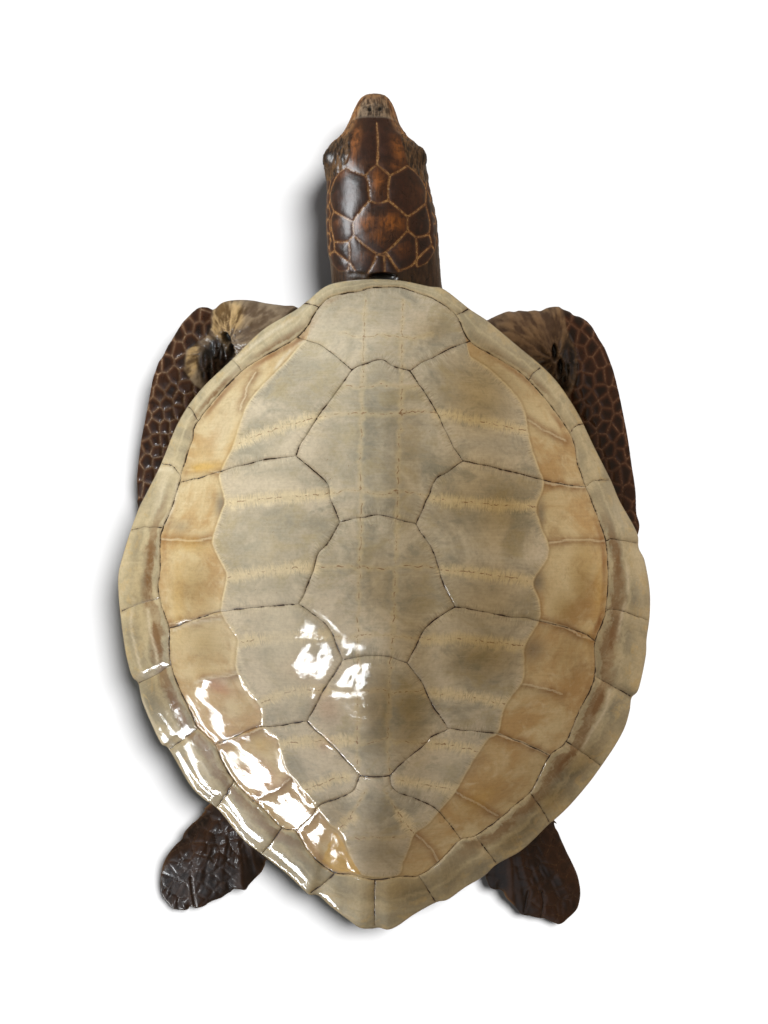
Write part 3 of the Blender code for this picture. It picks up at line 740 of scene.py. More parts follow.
PAINTED_LIGHT = [
    (262, 560, 34, 60, 0, .35), (285, 650, 28, 60, 8, .75), (275, 470, 40, 60, 0, .3),
    (222, 430, 16, 50, -25, .25), (335, 340, 40, 40, 0, .35), (340, 450, 16, 50, 0, .25),
    (235, 372, 14, 10, 40, .2), (162, 490, 5, 26, -12, .35), (200, 780, 14, 40, 40, .15),
    (235, 610, 20, 60, 0, .25), (640, 560, 8, 60, 0, .2), (497, 338, 26, 10, -36, .35),
    (620, 515, 10, 26, 20, .30), (300, 700, 30, 30, 0, .2), (452, 768, 26, 16, 30, .30),
    (250, 830, 20, 12, -40, .35),
]
YELLOW = [
    (204, 467, 18, 5.5, 6, 1.3), (163, 500, 3.4, 20, -10, .6), (166, 484, 4, 20, -12, .6),
    (153, 504, 4, 14, -14, .7), (232, 440, 6, 22, -20, .25), (260, 745, 12, 8, -30, .5),
    (190, 585, 16, 22, 0, .12), (178, 600, 8, 40, 0, .4), (600, 590, 8, 40, 0, .45), (190, 545, 20, 8, 0, .45),
    (585, 560, 14, 22, 0, .3), (205, 455, 14, 12, 0, .35), (592, 640, 12, 14, 0, .35),
    (480, 800, 26, 12, 40, .4), (245, 745, 16, 10, -30, .3),
]
YELLOW_CORNER = [(333, 832), (341, 837), (350, 856), (362, 875), (346, 873), (331, 870), (322, 861), (328, 846)]
# Pale ridges and wavy pale lines on the tan skin and the marginals. Some are painted highlights: the white
# ridges on the tan skin at the front left and on a rib, and the thin bright lines along the left and the
# front-left rim.
PALE_AND_HIGHLIGHT_LINES = [
    [(157, 471), (165, 468.5), (172, 470.5), (177, 480), (176, 494), (171, 511), (164, 524)],
    [(304, 341), (296, 346), (284, 357), (276, 368)], [(174, 630), (188, 624), (204, 621), (220, 619)],
    [(188, 687), (204, 679), (222, 675), (237, 672)], [(238, 648), (246, 680), (256, 697), (261, 706)],
    [(148, 610), (150, 630), (156, 652), (158, 668)], [(134, 600), (131, 625), (136, 650), (143, 676)],
    [(176, 726), (188, 742), (200, 760), (210, 778)], [(626, 560), (628, 590), (622, 615), (617, 640)],
    [(610, 690), (604, 712), (592, 730), (583, 748)], [(236, 360), (262, 339), (292, 319), (312, 301)],
    [(139, 690), (152, 722), (163, 744)],
]
# Low swellings that break up the mirrored windows: centre, radii and turn in pixels, and height in millimetres.
SWELLINGS = [
    (211, 706, 15, 6, -22, .40), (240, 748, 16, 6, -30, .40), (205, 728, 6, 12, 0, -.20),
    (258, 770, 7, 12, 30, -.25), (222, 690, 12, 5, -10, -.2), (278, 800, 12, 6, -35, .3),
    (300, 838, 6, 10, 0, .2), (318, 655, 5, 12, 0, -.12),
]
# Pinkish painted glow beside the mirrored windows' reflections, and places where the seams are hardly open.
WINDOW_GLOW = [
    (300, 668, 18, 11, 0, 1.1), (326, 706, 12, 20, 30, .6), (218, 688, 17, 9, -20, 1.2),
    (258, 774, 20, 13, -30, 1.1), (290, 665, 10, 6, 0, .6), (325, 745, 9, 8, 0, .6), (205, 735, 10, 8, 0, .4),
    (300, 812, 10, 8, -40, .4),
]
FAINT = [
    (141, 605, 20, 12, 0, 1.0), (155, 675, 18, 12, 0, 1.0), (375, 658, 28, 10, 0, .8), (270, 608, 6, 6, 0, .4),
    (228, 465, 20, 12, 0, .6), (240, 459, 14, 10, 0, .5), (147, 528, 16, 10, 0, .6), (530, 477, 14, 8, 0, .4),
    (375, 905, 10, 16, 0, .3), (234, 362, 10, 10, 0, .6), (190, 412, 12, 12, 0, .5), (640, 617, 12, 8, 0, .5),
]
AMBER = [
    (278, 347, 40, 8, 35, 1.0), (216, 396, 34, 9, 50, 1.0), (300, 340, 14, 8, 30, .9),
    (172, 548, 9, 30, 0, .75), (150, 570, 8, 50, 0, 1.1), (157, 640, 6, 38, 10, 1.2),
    (158, 505, 8, 22, -15, .8), (172, 700, 7, 30, 25, 1.2), (205, 750, 10, 26, 40, .7),
    (245, 805, 9, 30, 50, .8), (290, 848, 9, 24, 55, .6), (318, 846, 8, 22, 30, .7), (520, 372, 44, 6, -36, .8),
    (560, 425, 8, 22, 30, .6), (600, 560, 10, 36, 0, .8), (600, 622, 10, 26, 0, .8), (618, 560, 8, 40, 0, .9),
    (612, 640, 8, 34, 0, 1.0), (598, 705, 8, 30, -22, 1.1), (568, 760, 10, 26, -45, 1.1),
    (530, 800, 20, 8, 45, .6), (500, 826, 18, 8, 30, .5), (580, 610, 22, 12, 0, .6), (570, 690, 22, 12, 0, .5),
    (205, 472, 18, 8, 8, .8), (190, 555, 24, 8, 0, .45), (196, 618, 28, 9, 8, .6), (235, 690, 18, 10, 30, .5),
    (460, 760, 10, 24, -40, .5), (330, 300, 12, 4, 25, .4),
]


def carapace_lines(rng):
    """The plan lines of the shell: scute seams, sutures, scalloped plate ends, ribs, ring and rim."""
    ring = RING_LEFT + RING_RIGHT[::-1][1:] + RING_FRONT[::-1][1:-1]
    plates = PLEURAL_LEFT + PLEURAL_RIGHT[::-1] + PLATES_FRONT
    lines = {
        "ring": curve(onto(ring, dome), 0.001, closed=True),
        "pleural": curve(onto(plates, dome), 0.001, closed=True),
    }
    for name, pixels, step, size, wave in (
            ("seams", SEAMS.values(), 0.001, 0.00028, 0.007), ("dividers", DIVIDERS, 0.001, 0.0003, 0.005),
            ("sutures", SUTURES, 0.0011, 0.0005, 0.0022), ("neurals", NEURALS, 0.0011, 0.0007, 0.0026),
            ("ribs", RIBS, 0.001, 0.0008, 0.008)):
        lines[name] = [ragged(curve(onto(line, dome), step), size, wave, rng) for line in pixels]
    wander = np.column_stack([rough(lines["ring"], 120), rough(lines["ring"], 120, 3, 7.0)])
    lines["ring"] = lines["ring"] + 0.0004 * wander
    lines["rim"] = DOME_TOP[:2] + RIM_FINE[:, None] * np.column_stack([np.cos(TURNS), np.sin(TURNS)])
    return lines


# The shell's mesh: its box and steps, the rows of vertices beside each seam and inside the rim, and the room
# that free vertices leave beside the rim, any line and a seam.
SHELL_BOX = ((-0.25, -0.395), (0.25, 0.215))
SHELL_STEP, RIM_STEP = 0.00245, 0.0016
SEAM_ROWS, RIM_ROWS, RIM_ROUNDING = (1.2 * 0.0005, 2.6 * 0.0005), (0.0005, 0.0012, 0.0022), 0.0024
RIM_ROOM, LINE_ROOM, SEAM_ROOM = 0.0030, 0.0009, 0.0021


def beside(line, offset):
    """Points to both sides of a line."""
    normal = across(line)
    return np.vstack([line + normal * offset, line - normal * offset])


def carapace():
    rng = np.random.default_rng(11)
    lines = carapace_lines(rng)
    rim = even(looped(lines["rim"]), RIM_STEP)[:-1]
    pleural = looped(lines["pleural"][:-1])
    sulci = lines["seams"] + lines["dividers"] + [looped(lines["ring"][:-1])]
    hard = sulci + [pleural] + lines["sutures"] + lines["neurals"]
    marks = Lines(hard)
    rim_lines = Lines([looped(rim)])

    free = grid(*SHELL_BOX, SHELL_STEP, rng)
    free = free[inside(free, rim[::2])]
    near = np.vstack([beside(line, row) for line in sulci for row in SEAM_ROWS] + [beside(pleural, LINE_ROOM)])
    near = near[inside(near, rim[::2])]
    near = near[(rim_lines.distance(near) > 0.0008) & (Lines(sulci + [pleural]).distance(near) > 0.00045)]
    free = free[(marks.distance(free) > LINE_ROOM) & (Lines(sulci).distance(free) > SEAM_ROOM)]
    bands = [even(rim_inner(rim, inset), RIM_STEP) for inset in RIM_ROWS]
    free = np.vstack([free[rim_lines.distance(free) > RIM_ROOM], near] + bands)
    plan, faces = triangulated(free, [looped(rim)] + hard)
    plan, faces = trimmed(plan, faces, rim)

    fields, relief = carapace_fields(plan, lines, sulci, rim_lines)
    edge = rim_lines.distance(plan)
    short = np.maximum(RIM_ROUNDING - edge, 0)
    edge_drop = RIM_ROUNDING - np.sqrt(np.maximum(RIM_ROUNDING ** 2 - short ** 2, 0))
    height = dome(plan) + relief - edge_drop
    top = np.column_stack([plan, height])

    loop = borders(faces)[0]
    rows, places = [loop], [top]
    start = len(top)
    for row in underside_rows(top[loop]):
        places.append(row)
        rows.append(np.arange(start, start + len(loop)))
        start += len(loop)
    places.append(np.array([[*DOME_TOP[:2], DOME_TOP[2] + KEEL_HEIGHT - BONE]]))
    count = (start - len(top)) // len(loop)
    under = strips([r[::-1] for r in rows])
    last = rows[-1]
    fan = np.column_stack([np.roll(last, -1), last, np.full(len(last), start)])
    for name, values in fields.items():
        ring_values = values[loop]
        fill = np.concatenate([ring_values] * count + [ring_values[:1]])
        fields[name] = np.concatenate([values, fill])
    below = np.vstack(places[1:])[:, :2]
    divider_gap = Lines(lines["dividers"]).distance(below) / MM
    fields["sulcus"][len(top):] = np.clip(divider_gap, 0, 30)
    for name, value in (("suture", 30), ("neural", 30), ("ring", 12), ("rimward", 0.6)):
        fields[name][len(top):] = value
    fields["fibre"][len(top):, :2] = below / MM
    add_mesh("bone_carapace", np.vstack(places), [faces, under, fan], bone_look(), "carapace",
             fields)


def rim_inner(rim, inset):
    """The rim drawn in towards the dome's top."""
    away = rim - DOME_TOP[:2]
    reach = np.hypot(away[:, 0], away[:, 1])[:, None]
    drawn = DOME_TOP[:2] + away * (1 - inset / reach)
    return looped(drawn)


def underside_rows(loop):
    """Rings of vertices from the rim's edge under the marginals, up into the hollow and to its top."""
    plan = loop[:, :2]
    away = plan - DOME_TOP[:2]
    angle = np.arctan2(away[:, 1], away[:, 0])
    reach = np.hypot(away[:, 0], away[:, 1])
    direction = away / reach[:, None]
    lip = LIP_SIDE + (LIP_ENDS - LIP_SIDE) * np.sin(angle) ** 2
    soft_rim = around(RIM_LEVEL, angle)

    def ring(inset, height):
        return np.column_stack([DOME_TOP[:2] + direction * (reach - inset)[:, None], height])

    rows = [ring(0.0, loop[:, 2] - 0.0012), ring(0.0003, soft_rim - RIM_EDGE + 0.0006),
            ring(0.0012, soft_rim - RIM_EDGE - 0.0002)]
    for share in (0.12, 0.25, 0.45, 0.65, 0.85, 0.97):
        sag = 0.0006 * math.sin(math.pi * share)
        rows.append(ring(lip * share, soft_rim - RIM_EDGE - LIP_DROP * share - sag))
    rows.append(ring(lip, soft_rim - RIM_EDGE - LIP_DROP + 0.0008))
    rows.append(ring(lip, soft_rim - LIP_DROP))
    rows.append(ring(0.5 * lip, soft_rim - HOLLOW_DEPTH - 0.0015))
    for share in (0.92, 0.84, 0.72, 0.58, 0.42, 0.25, 0.12):
        plan_ring = DOME_TOP[:2] + direction * (reach * share)[:, None]
        outer = dome(plan_ring)
        slope = (dome(DOME_TOP[:2] + direction * (reach * (share - 0.01))[:, None]) - outer) / (0.01 * reach)
        rows.append(np.column_stack([plan_ring, outer - BONE * np.sqrt(1 + slope ** 2)]))
    return rows


# The rear rim's upturned edge: distance from the rim and height, in millimetres.
RIM_ROLL = [(0, 0), (2, -0.54), (4, -0.97), (5.5, -1.02), (7, -1.20), (9, -1.44), (11, -1.02), (19, 0)]


def carapace_fields(plan, lines, sulci, rim_lines):
    """The fields that the bone's material reads, and the height that the relief adds."""
    sulcus = Lines(sulci).distance(plan) / MM
    suture = Lines(lines["sutures"]).distance(plan) / MM
    neural = Lines(lines["neurals"]).distance(plan) / MM
    gap, run = Lines(lines["sutures"] + [lines["pleural"]] + sulci).nearest(plan)
    bone = Lines([lines["pleural"]]).distance(plan) / MM
    bone = np.where(inside(plan, lines["pleural"][:-1]), bone, -bone)
    ring_gap = Lines([lines["ring"]]).distance(plan) / MM
    ring = np.where(inside(plan, lines["ring"][:-1]), -ring_gap, ring_gap)
    ribs = Lines(lines["ribs"]).distance(plan) / MM
    edge = rim_lines.distance(plan) / MM
    rimward = np.where(ring > 0, ring / (ring + edge + 1e-6), 0.0)
    front = eased((plan[:, 1] - 0.125) / 0.02) * eased((0.074 - np.abs(plan[:, 0])) / 0.012)
    bone = bone + (30 - bone) * front * (ring < 0)
    tan = (bone < 0) & (ring < 0)

    wander = rough(plan, 30, 3)
    relief = -0.75 * bell(sulcus, 0.75) - 0.40 * bell(sulcus, 3.6)
    relief += -0.6 * bell(ring, 0.9) - 0.5 * bell(ring, 4.5)
    in_plate = eased((bone + 0.6) / 1.2) * (ring < 0)
    relief += in_plate * (0.20 * bell(suture, 0.8) - 0.50 * bell(suture, 6.0) - 0.12 * bell(neural, 2.5))
    relief += 0.75 * (in_plate - 1) * eased(-ring / 3.0) * (1 - front)
    sag = eased(-bone / 7.0) * eased(-ring / 6.0) * eased(ribs / 11.0)
    relief -= 1.1 * sag * tan
    relief += np.where(tan, 0.55 * bell(ribs, 1.7), 0)
    scallop = eased(ring / 5.0)
    relief += 0.55 * scallop * (1 - bell(sulcus, 6.0)) * (ring > 0)
    relief += 0.32 * wander + 0.10 * rough(plan, 130, 3, 5.0)
    relief *= eased(edge / 2.0)
    flat_rim = eased((-0.185 - plan[:, 1]) / 0.02) * eased((np.abs(plan[:, 0]) - 0.05) / 0.03) * (ring > 0)
    relief += flat_rim * np.interp(edge, *zip(*RIM_ROLL))

    relief += spots(plan, SWELLINGS) - spots(plan, [(*s[:5], -s[5]) for s in SWELLINGS])

    # Lighter painted-light patches, and the light lines, some of them painted highlights.
    pale_and_highlight_line = Lines([curve(onto(line, dome), 0.002) for line in PALE_AND_HIGHLIGHT_LINES]).distance(plan) / MM
    pale = np.maximum(spots(plan, PAINTED_LIGHT), 0.75 * bell(pale_and_highlight_line, 1.5) * eased(rough(plan, 60, 2, 3.0) + 0.9))
    corner = onto(YELLOW_CORNER, dome)
    in_corner = inside(plan, corner) * eased(Lines([looped(corner)]).distance(plan) / 0.0012)
    yellow = np.maximum(spots(plan, YELLOW), 1.5 * in_corner)
    band = 0.7 * (ring > 0) * eased((0.02 - plan[:, 1]) / 0.05) * eased((plan[:, 1] + 0.34) / 0.05)
    x, y = plan[:, 0] / MM, plan[:, 1] / MM
    angle, _ = polar(plan)
    round_rim = np.column_stack([angle * 260, ring, np.full(len(plan), 40.0)])
    fibre = np.where((ring > 0)[:, None], round_rim, np.column_stack([y, np.abs(x), np.zeros(len(plan))]))
    fields = {
        "sulcus": np.clip(sulcus, 0, 30), "suture": np.clip(suture, 0, 30), "neural": np.clip(neural, 0, 30),
        "bone": np.clip(bone, -30, 30), "ring": np.clip(ring, -30, 30), "rimward": rimward,
        "ribs": np.where(tan, bell(ribs, 4.5), 0.0), "smoke": spots(plan, SMOKE),
        "amber": np.maximum(spots(plan, AMBER), band),
        "brown": spots(plan, BROWNER_AND_SHADED), "pale": pale, "yellow": yellow, "fibre": fibre,
        "window_glow": spots(plan, WINDOW_GLOW), "faint": spots(plan, FAINT),
        "comb": np.column_stack([run / MM, gap / MM, np.zeros(len(plan))]),
    }
    return fields, relief * MM


# ---------------------------------------------------------------- skins: tubes of triangles

def borders(faces):
    """Every open border of a mesh of triangles, each in order."""
    edges = np.vstack([faces[:, [0, 1]], faces[:, [1, 2]], faces[:, [2, 0]]]).tolist()
    known = set(map(tuple, edges))
    following = {a: b for a, b in edges if (b, a) not in known}
    loops = []
    while following:
        first, place = next(iter(following.items()))
        del following[first]
        loop = [first]
        while place != first:
            loop.append(place)
            place = following.pop(place)
        loops.append(np.array(loop))
    return loops


def wrapped(width, low, high, step, lines, rng, holes=(), sparse=None):
    """Triangles over a strip whose two long sides are one line. Free points are thinner where sparse says."""
    side = even([(0.0, low), (0.0, high)], step)
    far = side + (width, 0)
    ends = [even([(0.0, v), (width, v)], 1.3 * step) for v in (low, high)]
    free = grid((0, low), (width, high), step, rng)
    margin = 0.55 * step
    free = free[(free[:, 0] > margin) & (free[:, 0] < width - margin)
                & (free[:, 1] > low + margin) & (free[:, 1] < high - margin)]
    if sparse is not None:
        free = free[rng.random(len(free)) < sparse(free)]
    if lines:
        free = free[Lines(lines).distance(free) > 0.45 * step]
    for hole in holes:
        free = free[~inside(free, hole)]
    plan, faces = triangulated(free, [side, far] + ends + list(lines))
    for hole in holes:
        faces = faces[~inside(plan[faces].mean(axis=1), hole)]
    near_side = np.flatnonzero(plan[:, 0] < 1e-7)
    far_side = np.flatnonzero(plan[:, 0] > width - 1e-7)
    near_side = near_side[np.argsort(plan[near_side, 1])]
    far_side = far_side[np.argsort(plan[far_side, 1])]
    same = np.arange(len(plan))
    same[far_side] = near_side
    return compacted(plan, same[faces])


def normals(places, faces):
    a, b, c = (places[faces[:, k]] for k in range(3))
    across = np.cross(b - a, c - a)
    found = np.zeros_like(places)
    for k in range(3):
        np.add.at(found, faces[:, k], across)
    return found / (np.linalg.norm(found, axis=1)[:, None] + 1e-15)


def turned_out(places, faces):
    """The same triangles, with their normals outwards."""
    a, b, c = (places[faces[:, k]] for k in range(3))
    volume = np.einsum("ij,ij->i", a, np.cross(b, c)).sum()
    return faces if volume > 0 else faces[:, ::-1]


def closed_with(places, faces, caps):
    """Closes open borders. Each cap gives, for a border, rings of places and a last point."""
    extra = []
    count = len(places)
    parts = [faces]
    for loop in borders(faces):
        rings, last = caps(loop, places)
        rows = [loop]
        for ring in rings:
            extra.append(ring)
            rows.append(np.arange(count, count + len(ring)))
            count += len(ring)
        extra.append(np.asarray(last, float)[None, :])
        for a, b in zip(rows, rows[1:]):
            an, bn = np.roll(a, -1), np.roll(b, -1)
            parts += [np.column_stack([an, a, b]), np.column_stack([an, b, bn])]
        inner = rows[-1]
        parts.append(np.column_stack([np.roll(inner, -1), inner, np.full(len(inner), count)]))
        count += 1
    return np.vstack([places] + extra), np.vstack(parts)


def seeds_over(place, width, low, high, radius, rng, tries=9000):
    """Random seeds on a skin, no two nearer than the radius that holds there."""
    points = np.column_stack([rng.uniform(0, width, tries), rng.uniform(low, high, tries)])
    held_at = place(points)
    wanted = radius(points, held_at)
    kept, held = [], np.zeros((0, 3))
    for k in range(tries):
        if wanted[k] <= 0:
            continue
        if len(held) and np.min(np.linalg.norm(held - held_at[k], axis=1)) < wanted[k]:
            continue
        kept.append(k)
        held = np.vstack([held, held_at[k]])
    return points[kept]


def cell_walls(seeds, keep, step, width=None):
    """The walls of the cells round seeds, as lines of points, on a plane or on a strip wrapped at a width."""
    copies = seeds if width is None else np.vstack([seeds, seeds + (width, 0), seeds - (width, 0)])
    made = delaunay_2d_cdt([Vector(p) for p in copies], [], [], 0, 1e-9, False)
    points = np.array([tuple(p) for p in made[0]])
    centres, owners = [], {}
    for number, face in enumerate(made[2]):
        a, b, c = points[list(face)]
        d = 2 * (a[0] * (b[1] - c[1]) + b[0] * (c[1] - a[1]) + c[0] * (a[1] - b[1]))
        squares = [p @ p for p in (a, b, c)]
        x = (squares[0] * (b[1] - c[1]) + squares[1] * (c[1] - a[1]) + squares[2] * (a[1] - b[1])) / d
        y = (squares[0] * (c[0] - b[0]) + squares[1] * (a[0] - c[0]) + squares[2] * (b[0] - a[0])) / d
        centres.append((x, y))
        for k in range(3):
            owners.setdefault(frozenset((face[k], face[(k + 1) % 3])), []).append(number)
    walls = []
    for pair in owners.values():
        if len(pair) < 2:
            continue
        start, end = np.array(centres[pair[0]]), np.array(centres[pair[1]])
        if np.linalg.norm(end - start) > 0.03 or np.linalg.norm(end - start) < 0.0008:
            continue
        walls.append(even([start, end], step))
    held = keep(np.vstack(walls))
    kept, first = [], 0
    for line in walls:
        part = line[held[first:first + len(line)]]
        first += len(line)
        if len(part) > 1:
            kept.append(part)
    return kept


# ---------------------------------------------------------------- the head

# Sections: place along y, centre x, half width, top and bottom.
HEAD_ROWS = [
    (0.3895, -0.0158, 0.0020, 0.0560, 0.0530), (0.3886, -0.0157, 0.0062, 0.0610, 0.0490),
    (0.3866, -0.0156, 0.0104, 0.0670, 0.0440), (0.3825, -0.0155, 0.0146, 0.0730, 0.0380),
    (0.3730, -0.0157, 0.0195, 0.0790, 0.0310), (0.3600, -0.0160, 0.0243, 0.0860, 0.0250),
    (0.3480, -0.0156, 0.0312, 0.0930, 0.0210), (0.3370, -0.0150, 0.0420, 0.0990, 0.0180),
    (0.3220, -0.0145, 0.0470, 0.1040, 0.0160), (0.3020, -0.0112, 0.0472, 0.1080, 0.0150),
    (0.2740, -0.0080, 0.0505, 0.1090, 0.0150), (0.2450, -0.0055, 0.0515, 0.1050, 0.0160),
    (0.2200, -0.0025, 0.0510, 0.0990, 0.0180), (0.2020, -0.0010, 0.0530, 0.0925, 0.0210),
    (0.1850, -0.0020, 0.0640, 0.0895, 0.0250), (0.1600, -0.0030, 0.0690, 0.0900, 0.0260),
    (0.1200, -0.0035, 0.0680, 0.0880, 0.0260),
]
HEAD_POWER = 2.4
FRONTAL_X = -0.0085
HEAD_WRAP = 0.045
HEAD_TABLE = spline(HEAD_ROWS, 12)[::-1]
EYE_RADIUS = 0.0105
EYES = {"left": (np.array((-0.0515, 0.3230, 0.0790)), -1), "right": (np.array((0.0225, 0.3250, 0.0790)), 1)}

HEAD_SEAMS = {
    "prefrontal_middle": [(375.1, 117), (377.2, 130.4), (378, 150), (377, 164.5)],
    "frontal_left_top": [(377, 164.5), (371, 169.5), (365.5, 175.7)],
    "frontal_right_top": [(377, 164.5), (383.5, 170), (390.1, 175.7)],
    "frontal_left": [(365.5, 175.7), (368, 182), (369, 192), (369.8, 200.4)],
    "frontal_right": [(390.1, 175.7), (388.6, 184), (388.2, 193), (388.5, 200.6)],
    "frontal_rear": [(369.8, 200.4), (374, 202.4), (379.4, 203.2), (384, 201.8), (388.5, 200.6)],
    "supraocular_left_top": [(345.8, 167.4), (355, 172), (365.5, 175.7)],
    "supraocular_right_top": [(407.6, 165.8), (399, 171), (390.1, 175.7)],
    "supraocular_left_side": [
        (345.8, 167.4), (339, 173), (333.8, 182.4), (330.6, 193), (330.6, 202), (334, 211.5),
    ],
    "supraocular_right_side": [(407.6, 165.8), (416, 172.5), (422, 180), (425.8, 190), (425.4, 203.9)],
    "supraocular_left_rear": [(334, 211.5), (343, 216.5), (352.8, 221.9)],
    "supraocular_right_rear": [(425.4, 203.9), (417, 210.5), (407.6, 216.8)],
    "hexagon_left_top": [(369.8, 200.4), (361, 210.5), (352.8, 221.9)],
    "hexagon_right_top": [(388.5, 200.6), (397.5, 208), (407.6, 216.8)],
    "hexagon_left": [(352.8, 221.9), (353.3, 228.5), (353.7, 235.4)],
    "hexagon_right": [(407.6, 216.8), (407.2, 223), (407.6, 230.3)],
    "hexagon_left_rear": [(353.7, 235.4), (364.5, 245), (377, 253.6), (383.5, 254)],
    "hexagon_right_rear": [(383.5, 254), (396, 243), (407.6, 230.3)],
    "temple_left": [(353.7, 235.4), (348.8, 241.2)],
    "temple_left_cross": [(348.8, 241.2), (341, 242.2), (334.2, 241.6)],
    "temple_left_side": [(334, 211.5), (331.4, 218), (331.3, 227), (334.2, 241.6), (334.6, 251)],
    "temple_left_rear": [(348.8, 241.2), (349.6, 252), (349.4, 262.6)],
    "leaf_left": [(334.6, 251), (341.5, 256.5), (349.4, 262.6), (355, 270)],
    "leaf_left_under": [(334.6, 251), (330.6, 255), (332.1, 264), (339, 271), (347, 270.5), (349.4, 262.6)],
    "temple_right": [(407.6, 230.3), (415.8, 237.2)],
    "temple_right_top": [(415.8, 237.2), (424, 236), (428.6, 233), (429.6, 222), (425.4, 203.9)],
    "temple_right_rear": [(415.8, 237.2), (416.7, 248), (416.8, 259)],
    "leaf_right": [(416.8, 259), (424, 252), (431, 244.5), (428.6, 233)],
    "leaf_right_under": [(416.8, 259), (417.5, 266.5), (427, 263), (434, 252), (431, 244.5)],
    "parietal_left": [(377, 253.6), (373, 264), (368, 273)],
    "parietal_right": [(386, 252), (392.5, 262), (398.6, 271)],
    "parietal_middle": [(383.5, 254), (384.4, 262), (384.8, 271)],
    "parietal_right_rear": [(416.8, 259), (411, 266), (403, 269.5), (398.6, 271)],
}
HEAD_REAR = [
    (326, 247), (330, 256), (332, 264), (339, 271), (347, 271), (356, 271.5), (369, 274.5), (384, 276),
    (398, 273.5), (405, 270.5), (411, 268.5), (418, 267.5), (427, 263), (433, 254), (438, 244),
]
# The wrinkled brows beside the eyes.
BROWS = [
    [
        (350, 132), (351.5, 150), (348, 162), (345, 167.5), (338.5, 173), (333, 180), (322, 182), (318, 150),
        (330, 136),
    ],
    [
        (399, 128), (402, 146), (405.5, 160), (408, 166.5), (416, 173), (422, 181), (436, 184), (436, 150),
        (420, 130),
    ],
]
# The gap behind the head, under the shell's front edge: sunk, and painted near-black as its shadow.
NAPE_SHADOW = [(383, 277.5, 15, 4.6, 0, 1.0)]
NOSTRILS = [(369.6, 110.0), (379.7, 109.3)]
NOSTRIL_RADIUS = 0.0025
# Orange and reddish patches of the head scales: centre, radii, turn and strength, in pixels.
HEAD_WARM = [
    (378, 182, 7, 13, 0, 1.2), (355, 144, 5, 18, -10, 1.5), (352, 160, 5, 8, 0, 1.0), (398, 150, 6, 14, 12, .9),
    (396, 166, 8, 5, 0, .5), (366, 222, 11, 9, 0, 1.2), (380, 236, 14, 9, 0, .7), (390, 223, 12, 9, 0, 1.3),
    (417, 192, 9, 13, 0, .15), (363, 256, 7, 7, 0, .5), (402, 249, 7, 6, 0, .5), (339, 223, 4, 4, 0, .4),
    (374, 262, 4, 7, 0, .5), (346, 172, 8, 4, 30, .5), (360, 165, 9, 5, 0, .35),
]
MOUTH = [
    (0.3884, 0.0540), (0.3800, 0.0500), (0.3700, 0.0470), (0.3580, 0.0455), (0.3450, 0.0450), (0.3330, 0.0440),
    (0.3220, 0.0410), (0.3140, 0.0360),
]


def head_section(y):
    return [np.interp(y, HEAD_TABLE[:, 0], HEAD_TABLE[:, k]) for k in range(1, 5)]


def head_top(plan):
    centre, half, top, bottom = head_section(plan[:, 1])
    c = np.clip(np.abs(plan[:, 0] - centre) / half, 0, 0.99)
    return (top + bottom) / 2 + (top - bottom) / 2 * (1 - c ** HEAD_POWER) ** (1 / HEAD_POWER)


def head_place(uv):
    """Places on the bare head: u runs round it from under the chin, and v is the place along y."""
    angle = uv[:, 0] / HEAD_WRAP - math.pi / 2
    centre, half, top, bottom = head_section(uv[:, 1])
    c, s = np.cos(angle), np.sin(angle)
    x = np.sign(c) * np.abs(c) ** (2 / HEAD_POWER)
    z = np.sign(s) * np.abs(s) ** (2 / HEAD_POWER)
    return np.column_stack([centre + half * x, uv[:, 1], (top + bottom) / 2 + (top - bottom) / 2 * z])


def head_uv(places):
    """The (u, v) of places near the head's surface."""
    centre, half, top, bottom = head_section(places[:, 1])
    dx = (places[:, 0] - centre) / half
    dz = (places[:, 2] - (top + bottom) / 2) / ((top - bottom) / 2)
    power = HEAD_POWER / 2
    angle = np.arctan2(np.sign(dz) * np.abs(dz) ** power, np.sign(dx) * np.abs(dx) ** power)
    return np.column_stack([((angle + math.pi / 2) % (2 * math.pi)) * HEAD_WRAP, places[:, 1]])


def on_head(pixels, step=0.001):
    plan = curve(onto(pixels, head_top), step)
    return head_uv(np.column_stack([plan, head_top(plan)]))


def eye_axes(side):
    out = Vector((side * 0.93, 0.14, 0.20)).normalized()
    up = (Vector((0, 0, 1)) - out * out.z).normalized()
    return np.array(out), np.array(up.cross(out)), np.array(up)


def lid_directions(side, wide=44, high=29, count=56):
    """Directions from the eye's centre to the edge of its lids."""
    out, along, up = eye_axes(side)
    turn = np.linspace(0, 2 * math.pi, count, endpoint=False)
    across = math.tan(math.radians(wide)) * np.cos(turn)
    rise = math.tan(math.radians(high)) * np.sign(np.sin(turn)) * np.abs(np.sin(turn)) ** 1.15
    found = out + across[:, None] * along + rise[:, None] * up
    return found / np.linalg.norm(found, axis=1)[:, None]


def eye_gap(places):
    """The distance to the nearer eye's centre."""
    return np.min([np.linalg.norm(places - centre, axis=1) for centre, _ in EYES.values()], axis=0)


def from_eye(centre, directions):
    """Where rays from the eye's centre leave the bare head."""
    low, high = np.full(len(directions), 0.001), np.full(len(directions), 0.05)
    for _ in range(40):
        middle = (low + high) / 2
        place = centre + directions * middle[:, None]
        mid_x, half, top, bottom = head_section(place[:, 1])
        out = (np.abs((place[:, 0] - mid_x) / half) ** HEAD_POWER
               + np.abs((place[:, 2] - (top + bottom) / 2) / ((top - bottom) / 2)) ** HEAD_POWER) > 1
        high, low = np.where(out, middle, high), np.where(out, low, middle)
    return centre + directions * low[:, None]


